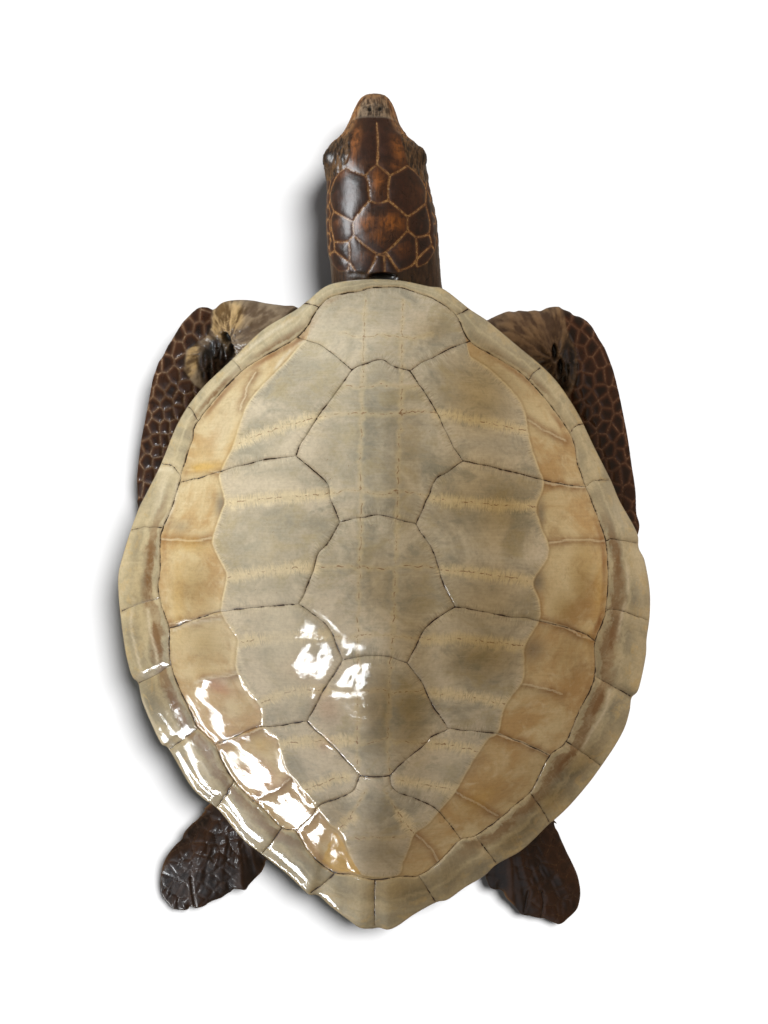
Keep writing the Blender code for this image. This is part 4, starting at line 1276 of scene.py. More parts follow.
def head_look():
    look = Look("head_skin", Coat_Weight=0.85, Coat_Roughness=0.28, Specular_IOR_Level=0.3)
    mix, span, times, plus = look.mix, look.span, look.times, look.plus
    seam, mouth, plate, warm = (look.field(n) for n in ("seam", "mouth", "plate", "warm"))
    beak, eye, tone = (look.field(n) for n in ("beak", "eye", "tone"))
    broad = look.noise(38, 4, 0.6, 0.4)
    middling = look.noise(120, 5, 0.62, 0.6)
    fine = look.noise(420, 4, 0.6, 0.3)
    streaks = look.noise(1.0, 5, 0.6, 0.6, place=look.stretched(look.object_place, (420, 60, 160)))

    scale = mix(span(broad, 0.35, 0.7), "#20130D", "#361D12")
    scale = mix(span(plus(middling, times(plus(tone, -0.5), 0.5)), 0.45, 0.75, 0.0, 0.6), scale, "#4C2612")
    glow = times(warm, span(plus(streaks, times(middling, 1.2)), 0.85, 1.35, 0.15, 1.0))
    scale = mix(glow, scale, "#94581F")
    halo = span(plus(seam, times(plus(middling, -0.5), 3.0)), 0.6, 3.0, 1.0, 0.0)
    scale = mix(times(halo, 0.55), scale, "#5C3418")
    border = span(plus(seam, times(plus(middling, -0.5), 1.5)), 0.40, 1.25, 1.0, 0.0)
    border = times(border, span(broad, 0.38, 0.60, 0.55, 0.95))
    tan = mix(span(fine, 0.35, 0.65), "#84582C", "#BC935E")
    scale = mix(border, scale, tan)
    middle_line = span(plus(seam, times(plus(fine, -0.5), 0.35)), 0.10, 0.40, 1.0, 0.0)
    scale = mix(times(middle_line, span(middling, 0.4, 0.55, 0.3, 0.95)), scale, "#3A2110")

    hide = mix(span(streaks, 0.30, 0.70), "#1C110A", "#46301D")
    hide = mix(span(middling, 0.4, 0.7, 0.0, 0.6), hide, "#2E1C11")
    hide = mix(look.field("brow"), hide, mix(span(streaks, 0.40, 0.62), "#1A100A", "#6A4E30"))
    colour = mix(plate, hide, scale)
    horn = mix(span(streaks, 0.40, 0.58), "#4A2C14", "#9C7040")
    horn = mix(span(middling, 0.45, 0.7, 0.0, 0.6), horn, "#7A4718")
    colour = mix(beak, colour, horn)
    lids = mix(span(streaks, 0.4, 0.6), "#1E140E", "#5A432C")
    colour = mix(span(eye, 12.5, 19.0, 0.95, 0.0), colour, lids)
    nose = look.field("nose")
    nose_colour = mix(span(streaks, 0.40, 0.60), "#42362A", "#95826C")
    colour = mix(times(nose, span(fine, 0.3, 0.7, 0.7, 1.0)), colour, nose_colour)
    colour = mix(times(look.field("nose_line"), 0.4), colour, "#968B7C")
    # Near-black painted shade in the nostril pits and in the gap behind the head.
    colour = mix(look.field("pit"), colour, "#060403")
    colour = mix(span(mouth, 0.3, 1.1, 0.95, 0.0), colour, "#120A06")

    roughness = span(middling, 0.3, 0.7, 0.26, 0.42)
    return look.finish(colour, roughness, [(broad, 0.0012), (streaks, 0.0003), (fine, 0.00015)])


def head():
    rng = np.random.default_rng(21)
    width = 2 * math.pi * HEAD_WRAP
    low, high = HEAD_ROWS[-1][0], HEAD_ROWS[0][0]
    drawn = [on_head(pixels) for pixels in HEAD_SEAMS.values()]
    mouths = []
    for side in (1, -1):
        line = curve(MOUTH, 0.0012)
        centre, half, top, bottom = head_section(line[:, 0])
        rise = (line[:, 1] - (top + bottom) / 2) / ((top - bottom) / 2)
        reach = (1 - np.abs(rise) ** HEAD_POWER) ** (1 / HEAD_POWER)
        mouths.append(head_uv(np.column_stack([centre + side * half * reach, line])))
    holes = [head_uv(from_eye(c, lid_directions(side))) for c, side in EYES.values()]
    hole_lines = [looped(hole) for hole in holes]
    pits = []
    for pixel in NOSTRILS:
        centre = onto([pixel], head_top)[0]
        turn = np.linspace(0, 2 * math.pi, 13)
        for radius in (NOSTRIL_RADIUS, NOSTRIL_RADIUS * 0.55):
            ring = centre + radius * np.column_stack([np.cos(turn) * 0.85, np.sin(turn) * 1.1])
            pits.append(head_uv(np.column_stack([ring, head_top(ring)])))

    def side_radius(uv, places):
        wanted = np.full(len(uv), 0.0095) - 0.002 * (places[:, 2] < 0.05)
        wanted[eye_gap(places) < 0.014] = 0.0045
        return wanted

    drawn_lines, mouth_marks = Lines(drawn), Lines(mouths)

    def side_keep(uv):
        places = head_place(uv)
        centre, half, _, _ = head_section(places[:, 1])
        sideways = (np.abs(places[:, 0] - centre) / half > 0.915) | (places[:, 2] < 0.05)
        return (sideways & (places[:, 1] > 0.236) & (places[:, 1] < 0.350) & (eye_gap(places) > 0.0165)
                & (uv[:, 0] > 0.0015) & (uv[:, 0] < width - 0.0015)
                & (mouth_marks.distance(uv) > 0.0022) & (drawn_lines.distance(uv) > 0.0012))

    seeds = seeds_over(head_place, width, 0.215, 0.36, side_radius, rng, 4000)
    walls = cell_walls(seeds, side_keep, 0.0012, width)
    lines = drawn + mouths + hole_lines + pits + walls
    uv, faces = wrapped(width, low, high, 0.00135, lines, rng, holes,
                        lambda p: np.where(p[:, 1] < 0.186, 0.18, 1.0))
    bare = head_place(uv)
    seam_lines = Lines([head_place(line) for line in drawn + walls])
    mouth_lines = Lines([head_place(line) for line in mouths])

    bulged = bare.copy()
    for centre, _ in EYES.values():
        away = bulged - centre
        reach = np.linalg.norm(away, axis=1)
        lid = EYE_RADIUS + 0.0008
        pushed = 0.5 * (reach + lid + np.sqrt((reach - lid) ** 2 + 0.0014 ** 2))
        bulged = centre + away * np.where(reach < 0.03, pushed / reach, 1.0)[:, None]
    faces = turned_out(bulged, faces)
    outward = normals(bulged, faces)
    seam = seam_lines.distance(bare) / MM
    faint = 3.0 * eased((bare[:, 1] - 0.336) / 0.012) * (np.abs(bare[:, 0] - FRONTAL_X) > 0.006)
    faint += 3.0 * eased((bare[:, 1] - 0.354) / 0.003)
    seam = np.clip(seam + faint, 0, 20)
    mouth = np.clip(mouth_lines.distance(bare) / MM, 0, 20)
    eye = eye_gap(bulged) / MM
    centre, half, _, _ = head_section(bare[:, 1])
    pit = np.min([np.hypot((bare[:, 0] - x) / 0.85, (bare[:, 1] - y) / 1.15)
                  for x, y in onto(NOSTRILS, head_top)], axis=0)
    pit = np.where(bare[:, 2] > 0.055, pit, 0.05)
    pit_depth = 1 - eased((pit / MM - 2.0) / 0.7)
    nape_shadow = eased(spots(bare[:, :2], NAPE_SHADOW, head_top) * 3 - 0.9) * (bare[:, 2] > 0.07)

    rear = onto(HEAD_REAR, head_top)
    scaled = eased((bare[:, 1] - np.interp(bare[:, 0], *rear.T) + 0.001) / 0.002)
    sideways = np.abs(bare[:, 0] - centre) / half
    brow = np.zeros(len(bare))
    for line in BROWS:
        corner = onto(line, head_top)
        gap = Lines([looped(corner)]).distance(bare[:, :2])
        brow = np.maximum(brow, inside(bare[:, :2], corner) * eased(gap / 0.0016))
    brow *= bare[:, 2] > 0.06
    scaled *= 1 - brow
    beak_edge = np.interp(bare[:, 1], [0.332, 0.345, 0.362, 0.371, 0.375], [0.85, 0.55, 0.46, 0.42, -0.3])
    beak = eased((sideways - beak_edge) / 0.28) * eased((bare[:, 1] - 0.332) / 0.012)
    beak = np.maximum(beak, eased((0.045 - bare[:, 2]) / 0.01) * eased((bare[:, 1] - 0.335) / 0.012))
    nose = eased((bare[:, 1] - 0.3595) / 0.0015) * eased((0.3890 - bare[:, 1]) / 0.0150)
    nose *= eased((0.78 - sideways) / 0.2) * (bare[:, 2] > 0.06)
    nose_line = bell(bare[:, 1] - 0.3600, 0.0008) * eased((0.86 - sideways) / 0.1) * (bare[:, 2] > 0.06)

    wrinkle = rough(bare * (1.0, 0.35, 1.0), 170, 3)
    ridges = rough(bare * (0.35, 1.0, 0.35), 120, 3, 9.0)
    plate_relief = (0.42 * eased(seam / 3.2) + 0.50 * eased(seam / 9.0)
                    + 0.20 * bell(seam - 0.85, 0.45) - 0.28 * bell(seam, 0.35))
    relief = scaled * (1 - beak) * plate_relief
    relief += (1 - scaled) * (0.5 * ridges + 0.25 * wrinkle)
    relief += brow * rough(bare * (1.0, 0.45, 1.0), 260, 2, 5.0) + 0.3 * nose * wrinkle
    relief += beak * 0.28 * rough(bare * (1.0, 0.12, 1.0), 420, 2)
    lid_wrinkles = bell(eye - 13.2, 3.2) * eased((eye - 11.6) / 1.2)
    relief += lid_wrinkles * 0.75 * rough(bare * (0.4, 1.0, 0.5), 330, 2, 3.0)
    relief += -1.3 * bell(mouth, 0.8) + 0.35 * bell(mouth - 2.0, 1.0)
    relief += -0.9 * pit_depth + 0.45 * bell(pit / MM - 3.5, 0.7) - 5.0 * nape_shadow
    relief += 0.25 * rough(bare, 60, 3)
    relief *= eased((eye - 11.3) / 1.0) * 0.999 + 0.001
    shown = bulged + outward * (relief * MM)[:, None]

    def caps(loop, places):
        middle = places[loop].mean(axis=0)
        near = [abs(np.linalg.norm(places[loop] - c, axis=1).mean() - 0.0118) for c, _ in EYES.values()]
        if min(near) > 0.003:
            return [], middle
        centre, side = list(EYES.values())[int(np.argmin(near))]
        away = places[loop] - centre
        away /= np.linalg.norm(away, axis=1)[:, None]
        out, _, _ = eye_axes(side)
        rings = [centre + away * (EYE_RADIUS + 0.0009), centre + away * (EYE_RADIUS + 0.00045)]
        for back in (0.15, 0.35, 0.6, 0.9, 1.4, 2.4, 5.0):
            deeper = away - out * back
            deeper /= np.linalg.norm(deeper, axis=1)[:, None]
            rings.append(centre + deeper * (EYE_RADIUS + 0.0005))
        return rings, centre - out * (EYE_RADIUS + 0.0005)

    count = len(shown)
    places, faces = closed_with(shown, faces, caps)
    faces = turned_out(places, faces)
    extra = len(places) - count
    warm = spots(bare[:, :2], HEAD_WARM, head_top) * (bare[:, 2] > 0.06)
    tone = by_seed(bare, head_place(seeds), rng.random(len(seeds)))
    tone = 0.5 + (tone - 0.5) * ((sideways > 0.915) | (bare[:, 2] < 0.05))
    # The pit field carries the painted shade of the nostril pits and of the gap behind the head.
    padded = {"seam": (seam, 20), "mouth": (mouth, 20), "plate": (scaled, 0), "warm": (warm, 0),
              "beak": (beak, 0), "eye": (eye, 11), "tone": (tone, 0.5), "nose": (nose, 0),
              "brow": (brow, 0), "nose_line": (nose_line, 0), "pit": (np.maximum(pit_depth, nape_shadow), 0)}
    fields = {name: np.concatenate([values, np.full(extra, fill)]) for name, (values, fill) in padded.items()}
    add_mesh("scaled_head", places, [faces], head_look(), "head_and_neck", fields)


def eye_look():
    look = Look("eye_glass", Coat_Weight=1.0, Coat_Roughness=0.02, IOR=1.5)
    mix, span, times = look.mix, look.span, look.times
    iris = look.field("iris")
    flecks = look.noise(900, 3, 0.6, 0.5)
    ring = times(span(iris, 0.30, 0.36), span(iris, 0.62, 0.70, 1.0, 0.0))
    brown = mix(span(flecks, 0.4, 0.6), "#1A0F08", "#3A2210")
    colour = mix(ring, "#050403", brown)
    return look.finish(colour, span(flecks, 0.3, 0.7, 0.05, 0.09))


def eyes():
    shine = eye_look()
    a, t, faces = ball(40, 64)
    for name, (centre, side) in EYES.items():
        out, along, up = eye_axes(side)
        bulge = EYE_RADIUS * (1 + 0.05 * bell(a, 0.55)) - 0.0002
        spread = (np.cos(a)[..., None] * out + (np.sin(a) * np.cos(t))[..., None] * along
                  + (np.sin(a) * np.sin(t))[..., None] * up)
        body = (centre + spread * bulge[..., None]).reshape(-1, 3)
        poles = np.array([centre + out * EYE_RADIUS * 1.03, centre - out * (EYE_RADIUS - 0.0002)])
        places = np.vstack([body, poles])
        iris = np.concatenate([a.ravel(), [0, math.pi]])
        add_mesh(f"eye_{name}", places, [turned_out(places, faces)], shine, f"glass_eye_{name}",
                 {"iris": iris})


# ---------------------------------------------------------------- the limbs

# Limb sections: the leading edge's and the trailing edge's plan places. The levels are the two edges'
# heights and the thickness between them, the same on both sides.
FRONT_LEFT = [
    (-0.084, 0.178, -0.088, 0.1), (-0.104, 0.192, -0.105, 0.105), (-0.132, 0.196, -0.127, 0.122),
    (-0.158, 0.193, -0.143, 0.138), (-0.18, 0.186, -0.152, 0.135), (-0.199, 0.166, -0.157, 0.117),
    (-0.212, 0.139, -0.163, 0.096), (-0.221, 0.112, -0.169, 0.074), (-0.227, 0.082, -0.174, 0.048),
    (-0.231, 0.05, -0.179, 0.02), (-0.2345, 0.016, -0.187, -0.009), (-0.232, -0.018, -0.197, -0.032),
    (-0.223, -0.046, -0.209, -0.05),
]
FRONT_RIGHT = [
    (0.079, 0.176, 0.082, 0.1), (0.098, 0.187, 0.099, 0.105), (0.124, 0.192, 0.12, 0.122),
    (0.15, 0.195, 0.138, 0.138), (0.172, 0.19, 0.15, 0.135), (0.194, 0.174, 0.158, 0.117),
    (0.208, 0.148, 0.165, 0.096), (0.217, 0.12, 0.171, 0.074), (0.225, 0.086, 0.176, 0.046),
    (0.23, 0.05, 0.181, 0.018), (0.2355, 0.012, 0.189, -0.012), (0.237, -0.02, 0.2, -0.036),
    (0.228, -0.05, 0.213, -0.054),
]
FRONT_LEVELS = [
    (0.062, 0.05, 0.046), (0.06, 0.048, 0.046), (0.057, 0.045, 0.042), (0.053, 0.04, 0.038),
    (0.049, 0.037, 0.034), (0.045, 0.034, 0.03), (0.041, 0.031, 0.026), (0.038, 0.028, 0.023),
    (0.034, 0.025, 0.02), (0.03, 0.021, 0.017), (0.026, 0.018, 0.014), (0.021, 0.015, 0.011),
    (0.017, 0.014, 0.007),
]
HIND_LEFT = [
    (-0.104, -0.232, -0.036, -0.27), (-0.138, -0.252, -0.06, -0.304), (-0.164, -0.279, -0.09, -0.326),
    (-0.183, -0.302, -0.112, -0.341), (-0.197, -0.323, -0.131, -0.359), (-0.208, -0.346, -0.152, -0.371),
    (-0.208, -0.366, -0.174, -0.381), (-0.199, -0.38, -0.187, -0.3835),
]
HIND_RIGHT = [
    (0.104, -0.232, 0.036, -0.27), (0.134, -0.254, 0.058, -0.306), (0.158, -0.281, 0.082, -0.332),
    (0.174, -0.308, 0.104, -0.35), (0.184, -0.333, 0.119, -0.366), (0.1915, -0.357, 0.137, -0.38),
    (0.189, -0.374, 0.157, -0.387), (0.178, -0.3865, 0.167, -0.3895),
]
HIND_LEVELS = [
    (0.044, 0.034, 0.034), (0.034, 0.028, 0.03), (0.027, 0.022, 0.025), (0.024, 0.019, 0.022),
    (0.022, 0.019, 0.019), (0.016, 0.014, 0.015), (0.012, 0.011, 0.011), (0.009, 0.009, 0.007),
]
TAIL = [
    (-0.027, -0.262, 0.02, -0.262), (-0.024, -0.3, 0.017, -0.3), (-0.016, -0.345, 0.009, -0.345),
    (-0.008, -0.376, 0.001, -0.376),
]
TAIL_LEVELS = [
    (0.032, 0.032, 0.03), (0.031, 0.031, 0.027), (0.026, 0.026, 0.019), (0.02, 0.02, 0.008),
]
# The limbs' outlines in pixels where the photograph shows them, from the shell to the shell.
FRONT_LEFT_EDGE = [
    (296, 307), (283.4, 305.6), (265.8, 303.2), (252.6, 300.6), (236.5, 300.0), (223, 302.6), (215.5, 308.6),
    (212.5, 309.6), (207.5, 307.6), (199.8, 307.6), (194, 311.5), (188.1, 317.1), (182.5, 323), (177.9, 330.2),
    (172, 339.9), (167.2, 347.6), (163.2, 356), (158.8, 362.4), (155.9, 370.4), (153.2, 378), (151.5, 386.8),
    (148.5, 402.9), (144.9, 422), (141.2, 441), (138.3, 464.5), (137.1, 479.1), (138.0, 497), (138.3, 507),
]
FRONT_RIGHT_EDGE = [
    (486, 320.6), (492, 317.8), (499.2, 314.5), (507.4, 311.5), (514, 311.9), (519, 310.6), (526.9, 311.3),
    (534, 310.4), (540, 311.0), (548.1, 307.6), (557.9, 306.8), (563, 309.6), (569.4, 312.2), (574, 315.6),
    (579.1, 316.9), (586.4, 321), (592.2, 327.5), (598.7, 338.9), (603.4, 346), (606.9, 353.6), (613.4, 371.6),
    (618.3, 391.1), (623.2, 414), (628.1, 440.1), (631.3, 462.9), (635.4, 490.7), (636.2, 511.9),
    (638.7, 531.4),
]
HIND_LEFT_EDGE = [
    (209.5, 804), (205, 810.5), (197.8, 818.9), (190.5, 825), (184.3, 832.5), (181.6, 839.5), (176, 844.4),
    (168.3, 854), (164.2, 862), (162, 869.2), (160.6, 878), (160.4, 886.7), (162.8, 896.3), (168, 903.2),
    (173.9, 908.8), (181, 909.6), (187.6, 909.2), (190.2, 905.8), (193.2, 907.4), (197, 907.8), (204.2, 905.8),
    (209, 902.6), (213.8, 900.3), (218.6, 898.8), (222.6, 897.1), (226.8, 894), (230.5, 892), (234.5, 888.8),
    (240, 889.2), (245.7, 889.8), (248.9, 885.1), (255.6, 878), (261.7, 871.6), (265.0, 865), (267, 860),
]
HIND_RIGHT_EDGE = [
    (552, 818), (554, 823), (555.4, 827.6), (558, 832), (561, 839.4), (563.5, 845), (566.2, 851.2),
    (570, 858.5), (573.6, 865.9), (576, 871.5), (578, 877.6), (579.6, 886), (580.2, 894.6), (579.4, 901),
    (577.6, 907.8), (574.6, 912), (571.4, 915.1), (567.5, 918.5), (563.3, 921.8), (560, 923.2), (556.7, 922.9),
    (551.5, 921), (547.1, 918.8), (543, 917.6), (539, 917.7), (533.5, 916.8), (528.7, 915.5), (524.6, 915.4),
    (520.6, 914), (517.6, 910), (514.8, 906.3), (512, 903.4), (509.6, 901.2), (507.2, 898.8), (505.2, 896),
    (503, 891.6), (498.6, 889.4), (495.6, 889.8), (490.5, 888), (487.6, 882.8), (485.4, 876.2), (484, 870),
]


def two_sided(plan, faces, outline, edge):
    """Two sheets of a plan mesh on one border: places, triangles, the upper sheet's count, gaps to the edge."""
    plan, faces = trimmed(plan, faces, outline)
    on_edge = np.zeros(len(plan), bool)
    on_edge[np.concatenate(borders(faces))] = True
    inner = np.flatnonzero(~on_edge)
    under = np.arange(len(plan))
    under[inner] = np.arange(len(plan), len(plan) + len(inner))
    gap = np.where(on_edge, 0, edge.distance(plan))
    both = np.vstack([plan, plan[inner]])
    return (np.column_stack([both, np.zeros(len(both))]), np.vstack([faces, under[faces[:, ::-1]]]), len(plan),
            np.concatenate([gap, gap[inner]]))


def sections(plan, levels):
    """A limb's sections: leading edge and trailing edge in space, then the thickness between them."""
    return [(a, b, high, c, d, low, thick) for (a, b, c, d), (high, low, thick) in zip(plan, levels)]


class Limb:
    """A limb as a slab between two surfaces over its plan outline."""

    def __init__(self, rows, visible, hidden_rows):
        table = spline(rows, 6)
        leading, trailing = table[:, :3], table[:, 3:6]
        chord = np.linalg.norm(leading - trailing, axis=1) / 2
        known = []
        for share in np.linspace(0.04, 0.96, 5):
            place = leading + (trailing - leading) * share
            known.append(np.column_stack([place, table[:, 6], chord]))
        self.known = np.vstack(known)
        rows = np.array(rows)
        shown = rows[:, :2] if visible is None else np.vstack([rows[0, :2], onto(visible, self.level)])
        if visible is not None and hidden_rows == len(rows):
            shown = np.vstack([shown, rows[-1, :2]])
        self.outline = curve(np.vstack([shown, rows[:hidden_rows][::-1, 3:5]]), 0.0011, closed=True)

    def about(self, plan):
        """Middle height, thickness and half width near plan places."""
        away = ((plan[:, None, :] - self.known[None, :, :2]) ** 2).sum(axis=2)
        weight = np.exp(-(away - away.min(axis=1)[:, None]) / (2 * 0.008 ** 2))
        return (weight @ self.known[:, 2:]) / weight.sum(axis=1)[:, None]

    def level(self, plan):
        return self.about(plan)[:, 0]


def skin_look(name, scale_dark, scale_warm, outline, skins, coat=0.9, dullness=0.08):
    """Varnished scaly skin. The skins' colours stand for bare, golden and folded skin. Deep folds, partly
    painted shade with a painted grey highlight, and black holes painted as shade have colours of their own.
    """
    look = Look(name, Coat_Weight=coat, Coat_Roughness=dullness, Specular_IOR_Level=0.25)
    mix, span, times, plus = look.mix, look.span, look.times, look.plus
    seam, tone, scaled, gold, fold = (look.field(n) for n in ("seam", "tone", "scaled", "gold", "fold"))
    dark, hole = look.field("dark"), look.field("hole")
    broad = look.noise(45, 4, 0.6, 0.4)
    middling = look.noise(150, 5, 0.62, 0.6)
    fine = look.noise(480, 4, 0.6, 0.3)
    warmth = plus(times(tone, 0.5), times(middling, 0.55))
    scale = mix(span(broad, 0.35, 0.7), scale_dark[0], scale_dark[1])
    reach = plus(seam, times(plus(middling, -0.5), 1.4))
    scale = mix(span(reach, 0.8, 4.2, 0.85, 0.0), scale, scale_warm)
    scale = mix(span(warmth, 0.50, 0.75, 0.0, 0.5), scale, scale_warm)
    scale = mix(span(reach, 0.45, 2.1, 0.9, 0.0), scale, outline[0])
    # A lighter line in the middle of the seams: partly the scales' tan outline, partly a painted highlight.
    line = times(span(reach, 0.10, 0.85, 1.0, 0.0), span(broad, 0.40, 0.58, 0.25, 0.95))
    scale = mix(line, scale, mix(span(fine, 0.35, 0.65), outline[0], outline[1]))
    middle_line = times(span(seam, 0.05, 0.3, 1.0, 0.0), span(middling, 0.48, 0.66))
    scale = mix(times(middle_line, 0.7), scale, "#150C07")

    # Bare and golden skin darker in the folds' troughs and lighter on their crests: partly the wrinkles' own
    # lines, partly painted shade.
    lines = span(plus(fold, times(plus(fine, -0.5), 0.5)), -0.45, 0.45)
    bare = mix(lines, skins[0], skins[1])
    bare = mix(span(broad, 0.4, 0.7, 0.0, 0.5), bare, skins[2])
    golden = mix(lines, skins[3], skins[4])
    bare = mix(gold, bare, golden)
    colour = mix(scaled, bare, scale)
    # Deep folds: near-black, partly painted shade, with grey patches that are a painted highlight.
    folded = mix(span(fold, -0.2, 0.7), "#120B07", "#38241A")
    folded = mix(times(span(middling, 0.5, 0.72), 0.6), folded, "#5E4838")
    colour = mix(dark, colour, folded)
    # Black in the holes is painted shade.
    colour = mix(hole, colour, "#050302")
    roughness = span(plus(middling, times(plus(scaled, dark), -0.15)), 0.1, 0.7, 0.22, 0.55)
    return look.finish(colour, roughness, [(fine, 0.0002), (middling, 0.0005)])


def toward(plan, pixel, surface):
    """Angle and distance of plan places about a pixel's place."""
    away = plan - onto([pixel], surface)[0]
    return np.arctan2(away[:, 1], away[:, 0]), np.hypot(away[:, 0], away[:, 1])


def limb(name, slab, step, seed, look, replaced, scale_size, mask, painted, drawn=(), long=1.0):
    """A limb's piece. mask says where its scales are, painted gives the other fields and the relief, and long
    is how much longer than wide the scales are."""
    rng = np.random.default_rng(seed)
    outline = slab.outline
    edge = Lines([outline])
    lowest, highest = outline.min(axis=0), outline.max(axis=0)
    squeeze = np.array((1.0, 1.0 / long))
    seeds = scattered((lowest - 0.01) * squeeze, (highest + 0.01) * squeeze,
                      lambda points: scale_size(points / squeeze), rng)

    def keep(points):
        points = points / squeeze
        return inside(points, outline) & (edge.distance(points) > 0.0007) & (mask(points) > 0.3)

    walls = [line / squeeze for line in cell_walls(seeds, keep, 0.0011)]
    marks = list(drawn) + walls
    free = grid(lowest, highest, step, rng)
    free = free[inside(free, outline)]
    gap = edge.distance(free)
    free = free[gap > 0.0030]
    free = free[Lines(marks).distance(free) > 0.45 * step] if marks else free
    bands = []
    for inset in (0.0003, 0.0009, 0.0018, 0.0028):
        band = beside(outline, inset)
        band = band[inside(band, outline)]
        bands.append(band[edge.distance(band) > 0.8 * inset])
    plan, faces = triangulated(np.vstack([free] + bands), [outline] + marks)
    places, faces, upper, gap = two_sided(plan, faces, outline, edge)
    plan = places[:, :2]
    middle, thickness, half = slab.about(plan).T
    share = np.minimum(gap / (0.92 * half), 1)
    lift = thickness / 2 * np.sqrt(np.maximum(1 - (1 - share) ** 2, 0))
    places = np.column_stack([plan, middle + np.where(np.arange(len(plan)) < upper, lift, -0.8 * lift)])

    seam = np.clip(Lines(marks).distance(plan) / MM, 0, 20) if marks else np.full(len(plan), 20.0)
    scaled = mask(plan)
    tone = by_seed(plan * squeeze, seeds, rng.random(len(seeds)))
    fields, relief = painted(plan, gap / MM)
    fields.update(seam=seam, scaled=scaled, tone=tone)
    relief = relief + scaled * (0.75 * eased(seam / 3.4) - 0.30 * bell(seam, 0.35)
                                + 0.25 * (tone - 0.5) * eased(seam / 1.5))
    relief *= eased(gap / MM / 1.5) * 0.9 + 0.1
    places = places + normals(places, faces) * (relief * MM)[:, None]
    places[:, 2] = np.maximum(places[:, 2], 0.0015)
    add_mesh(name, places, [faces], look, replaced, fields)


def scattered(lowest, highest, size, rng, tries=2600):
    """Random plan places no nearer to each other than the size that holds there."""
    points = rng.uniform(lowest, highest, (tries, 2))
    sizes = size(points)
    kept = np.zeros((0, 2))
    for spot, wanted in zip(points, sizes):
        if len(kept) == 0 or np.min(np.hypot(*(kept - spot).T)) > wanted:
            kept = np.vstack([kept, spot])
    return kept


def divided(plan, border_pixels, surface, soft=0.0015):
    """1 on the outer side of a line down the image and 0 on its inner side, for either half of the image."""
    line = onto(border_pixels, surface)
    order = np.argsort(line[:, 1])
    x = np.interp(plan[:, 1], line[order, 1], line[order, 0])
    side = np.sign(line[:, 0].mean())
    return eased((side * (plan[:, 0] - x)) / soft * 0.5 + 0.5)


# Where the scales of each front flipper begin, in pixels.
SCALES_LEFT = [
    (212.8, 300), (213.2, 309), (213.6, 328), (209, 338.4), (188, 352), (186, 372), (196, 386), (214, 397),
    (230, 410),
]
SCALES_RIGHT = [(561, 300), (562, 311), (564.5, 331), (575, 355), (574, 381), (569, 395), (560, 408)]


# Each side's skin colours, and in pixels the centre of its folds, its holes, painted black as shade, its deep
# folds, partly painted shade, and golden skin.
FRONT = {
    "left": {
        "side": -1, "rows": sections(FRONT_LEFT, FRONT_LEVELS), "edge": FRONT_LEFT_EDGE,
        "border": SCALES_LEFT, "centre": (229, 346),
        "holes": [(228.5, 341, 4.6, 8.5, 25, 1.0), (233, 352, 3.4, 9, 10, 0.9)],
        "darks": [(210, 368, 12, 24, 0, 1.2), (218, 352, 10, 14, 0, 1.2), (226, 362, 12, 14, 0, 1.1)],
        "golds": [(224, 322, 15, 24, 0, 1.1), (236, 318, 12, 18, 0, 1.0), (194, 362, 7, 18, -10, 1.3)],
        "scales": (("#1C0E08", "#2E170C"), "#4A2A16", ("#5E4430", "#A88E74")),
        "skins": ("#6A5846", "#A08F78", "#88765E", "#664E2C", "#CEB282"),
    },
    "right": {
        "side": 1, "rows": sections(FRONT_RIGHT, FRONT_LEVELS), "edge": FRONT_RIGHT_EDGE,
        "border": SCALES_RIGHT, "centre": (555, 362),
        "holes": [(553, 355, 3.6, 11, 4, 1.0), (558, 370, 4.2, 12, 0, 0.9)],
        "darks": [(567, 362, 9, 26, 8, 1.0), (562, 384, 12, 14, 0, 0.9), (570, 340, 5, 14, 0, 0.7)],
        "golds": [(553, 335, 8, 20, 0, 0.5)],
        "scales": (("#1C100A", "#2C1910"), "#442412", ("#543523", "#8A6850")),
        "skins": ("#4C3828", "#84694C", "#705846", "#3A2616", "#745A3C"),
    },
}


def front_flipper(word, side, rows, edge, border, centre, holes, darks, golds, scales, skins):
    slab = Limb(rows, edge, len(rows))

    def mask(plan):
        return divided(plan, border, slab.level)

    def painted(plan, gap):
        angle, reach = toward(plan, centre, slab.level)
        ray = np.column_stack([np.cos(angle), np.sin(angle), reach * 9])
        folds = 0.75 * rough(ray, 5.5, 3) + 0.5 * rough(ray, 14, 2, 4.0)
        flow = rough(np.column_stack([plan[:, 0] * 250, plan[:, 1] * 70, plan[:, 0] * 0]), 1, 2)
        scaled = mask(plan)
        # Holes painted black as shade, near-black folds that are partly painted shade in the crease, and golden
        # skin.
        hole, dark, gold = (
            eased(spots(plan, patches, slab.level) * gain - less) * (1 - scaled)
            for patches, gain, less in ((holes, 2.2, 0.75), (darks, 1.9, 0.55), (golds, 1.8, 0.4)))
        fold = folds + dark * (flow - folds)
        near = bell(reach, 0.035)
        relief = (1 - scaled) * ((0.35 + near) * fold + 0.25 * rough(plan, 200, 3))
        relief -= 6.5 * hole
        relief -= 1.6 * bell((0.5 - scaled) * 2, 0.8) * near
        fields = {"gold": gold, "dark": dark, "hole": hole, "fold": fold}
        return fields, relief + 0.3 * rough(plan, 60, 3)

    def size(plan):
        return 0.0076 + 0.0012 * (plan[:, 1] < 0.03) + 0.001 * (plan[:, 1] > 0.12)

    look = skin_look(f"flipper_skin_{word}", *scales, skins, 0.75, 0.12)
    limb(f"front_flipper_skin_{word}", slab, 0.00118, 31 + side, look, f"front_flipper_{word}", size, mask,
         painted, (), 1.25)


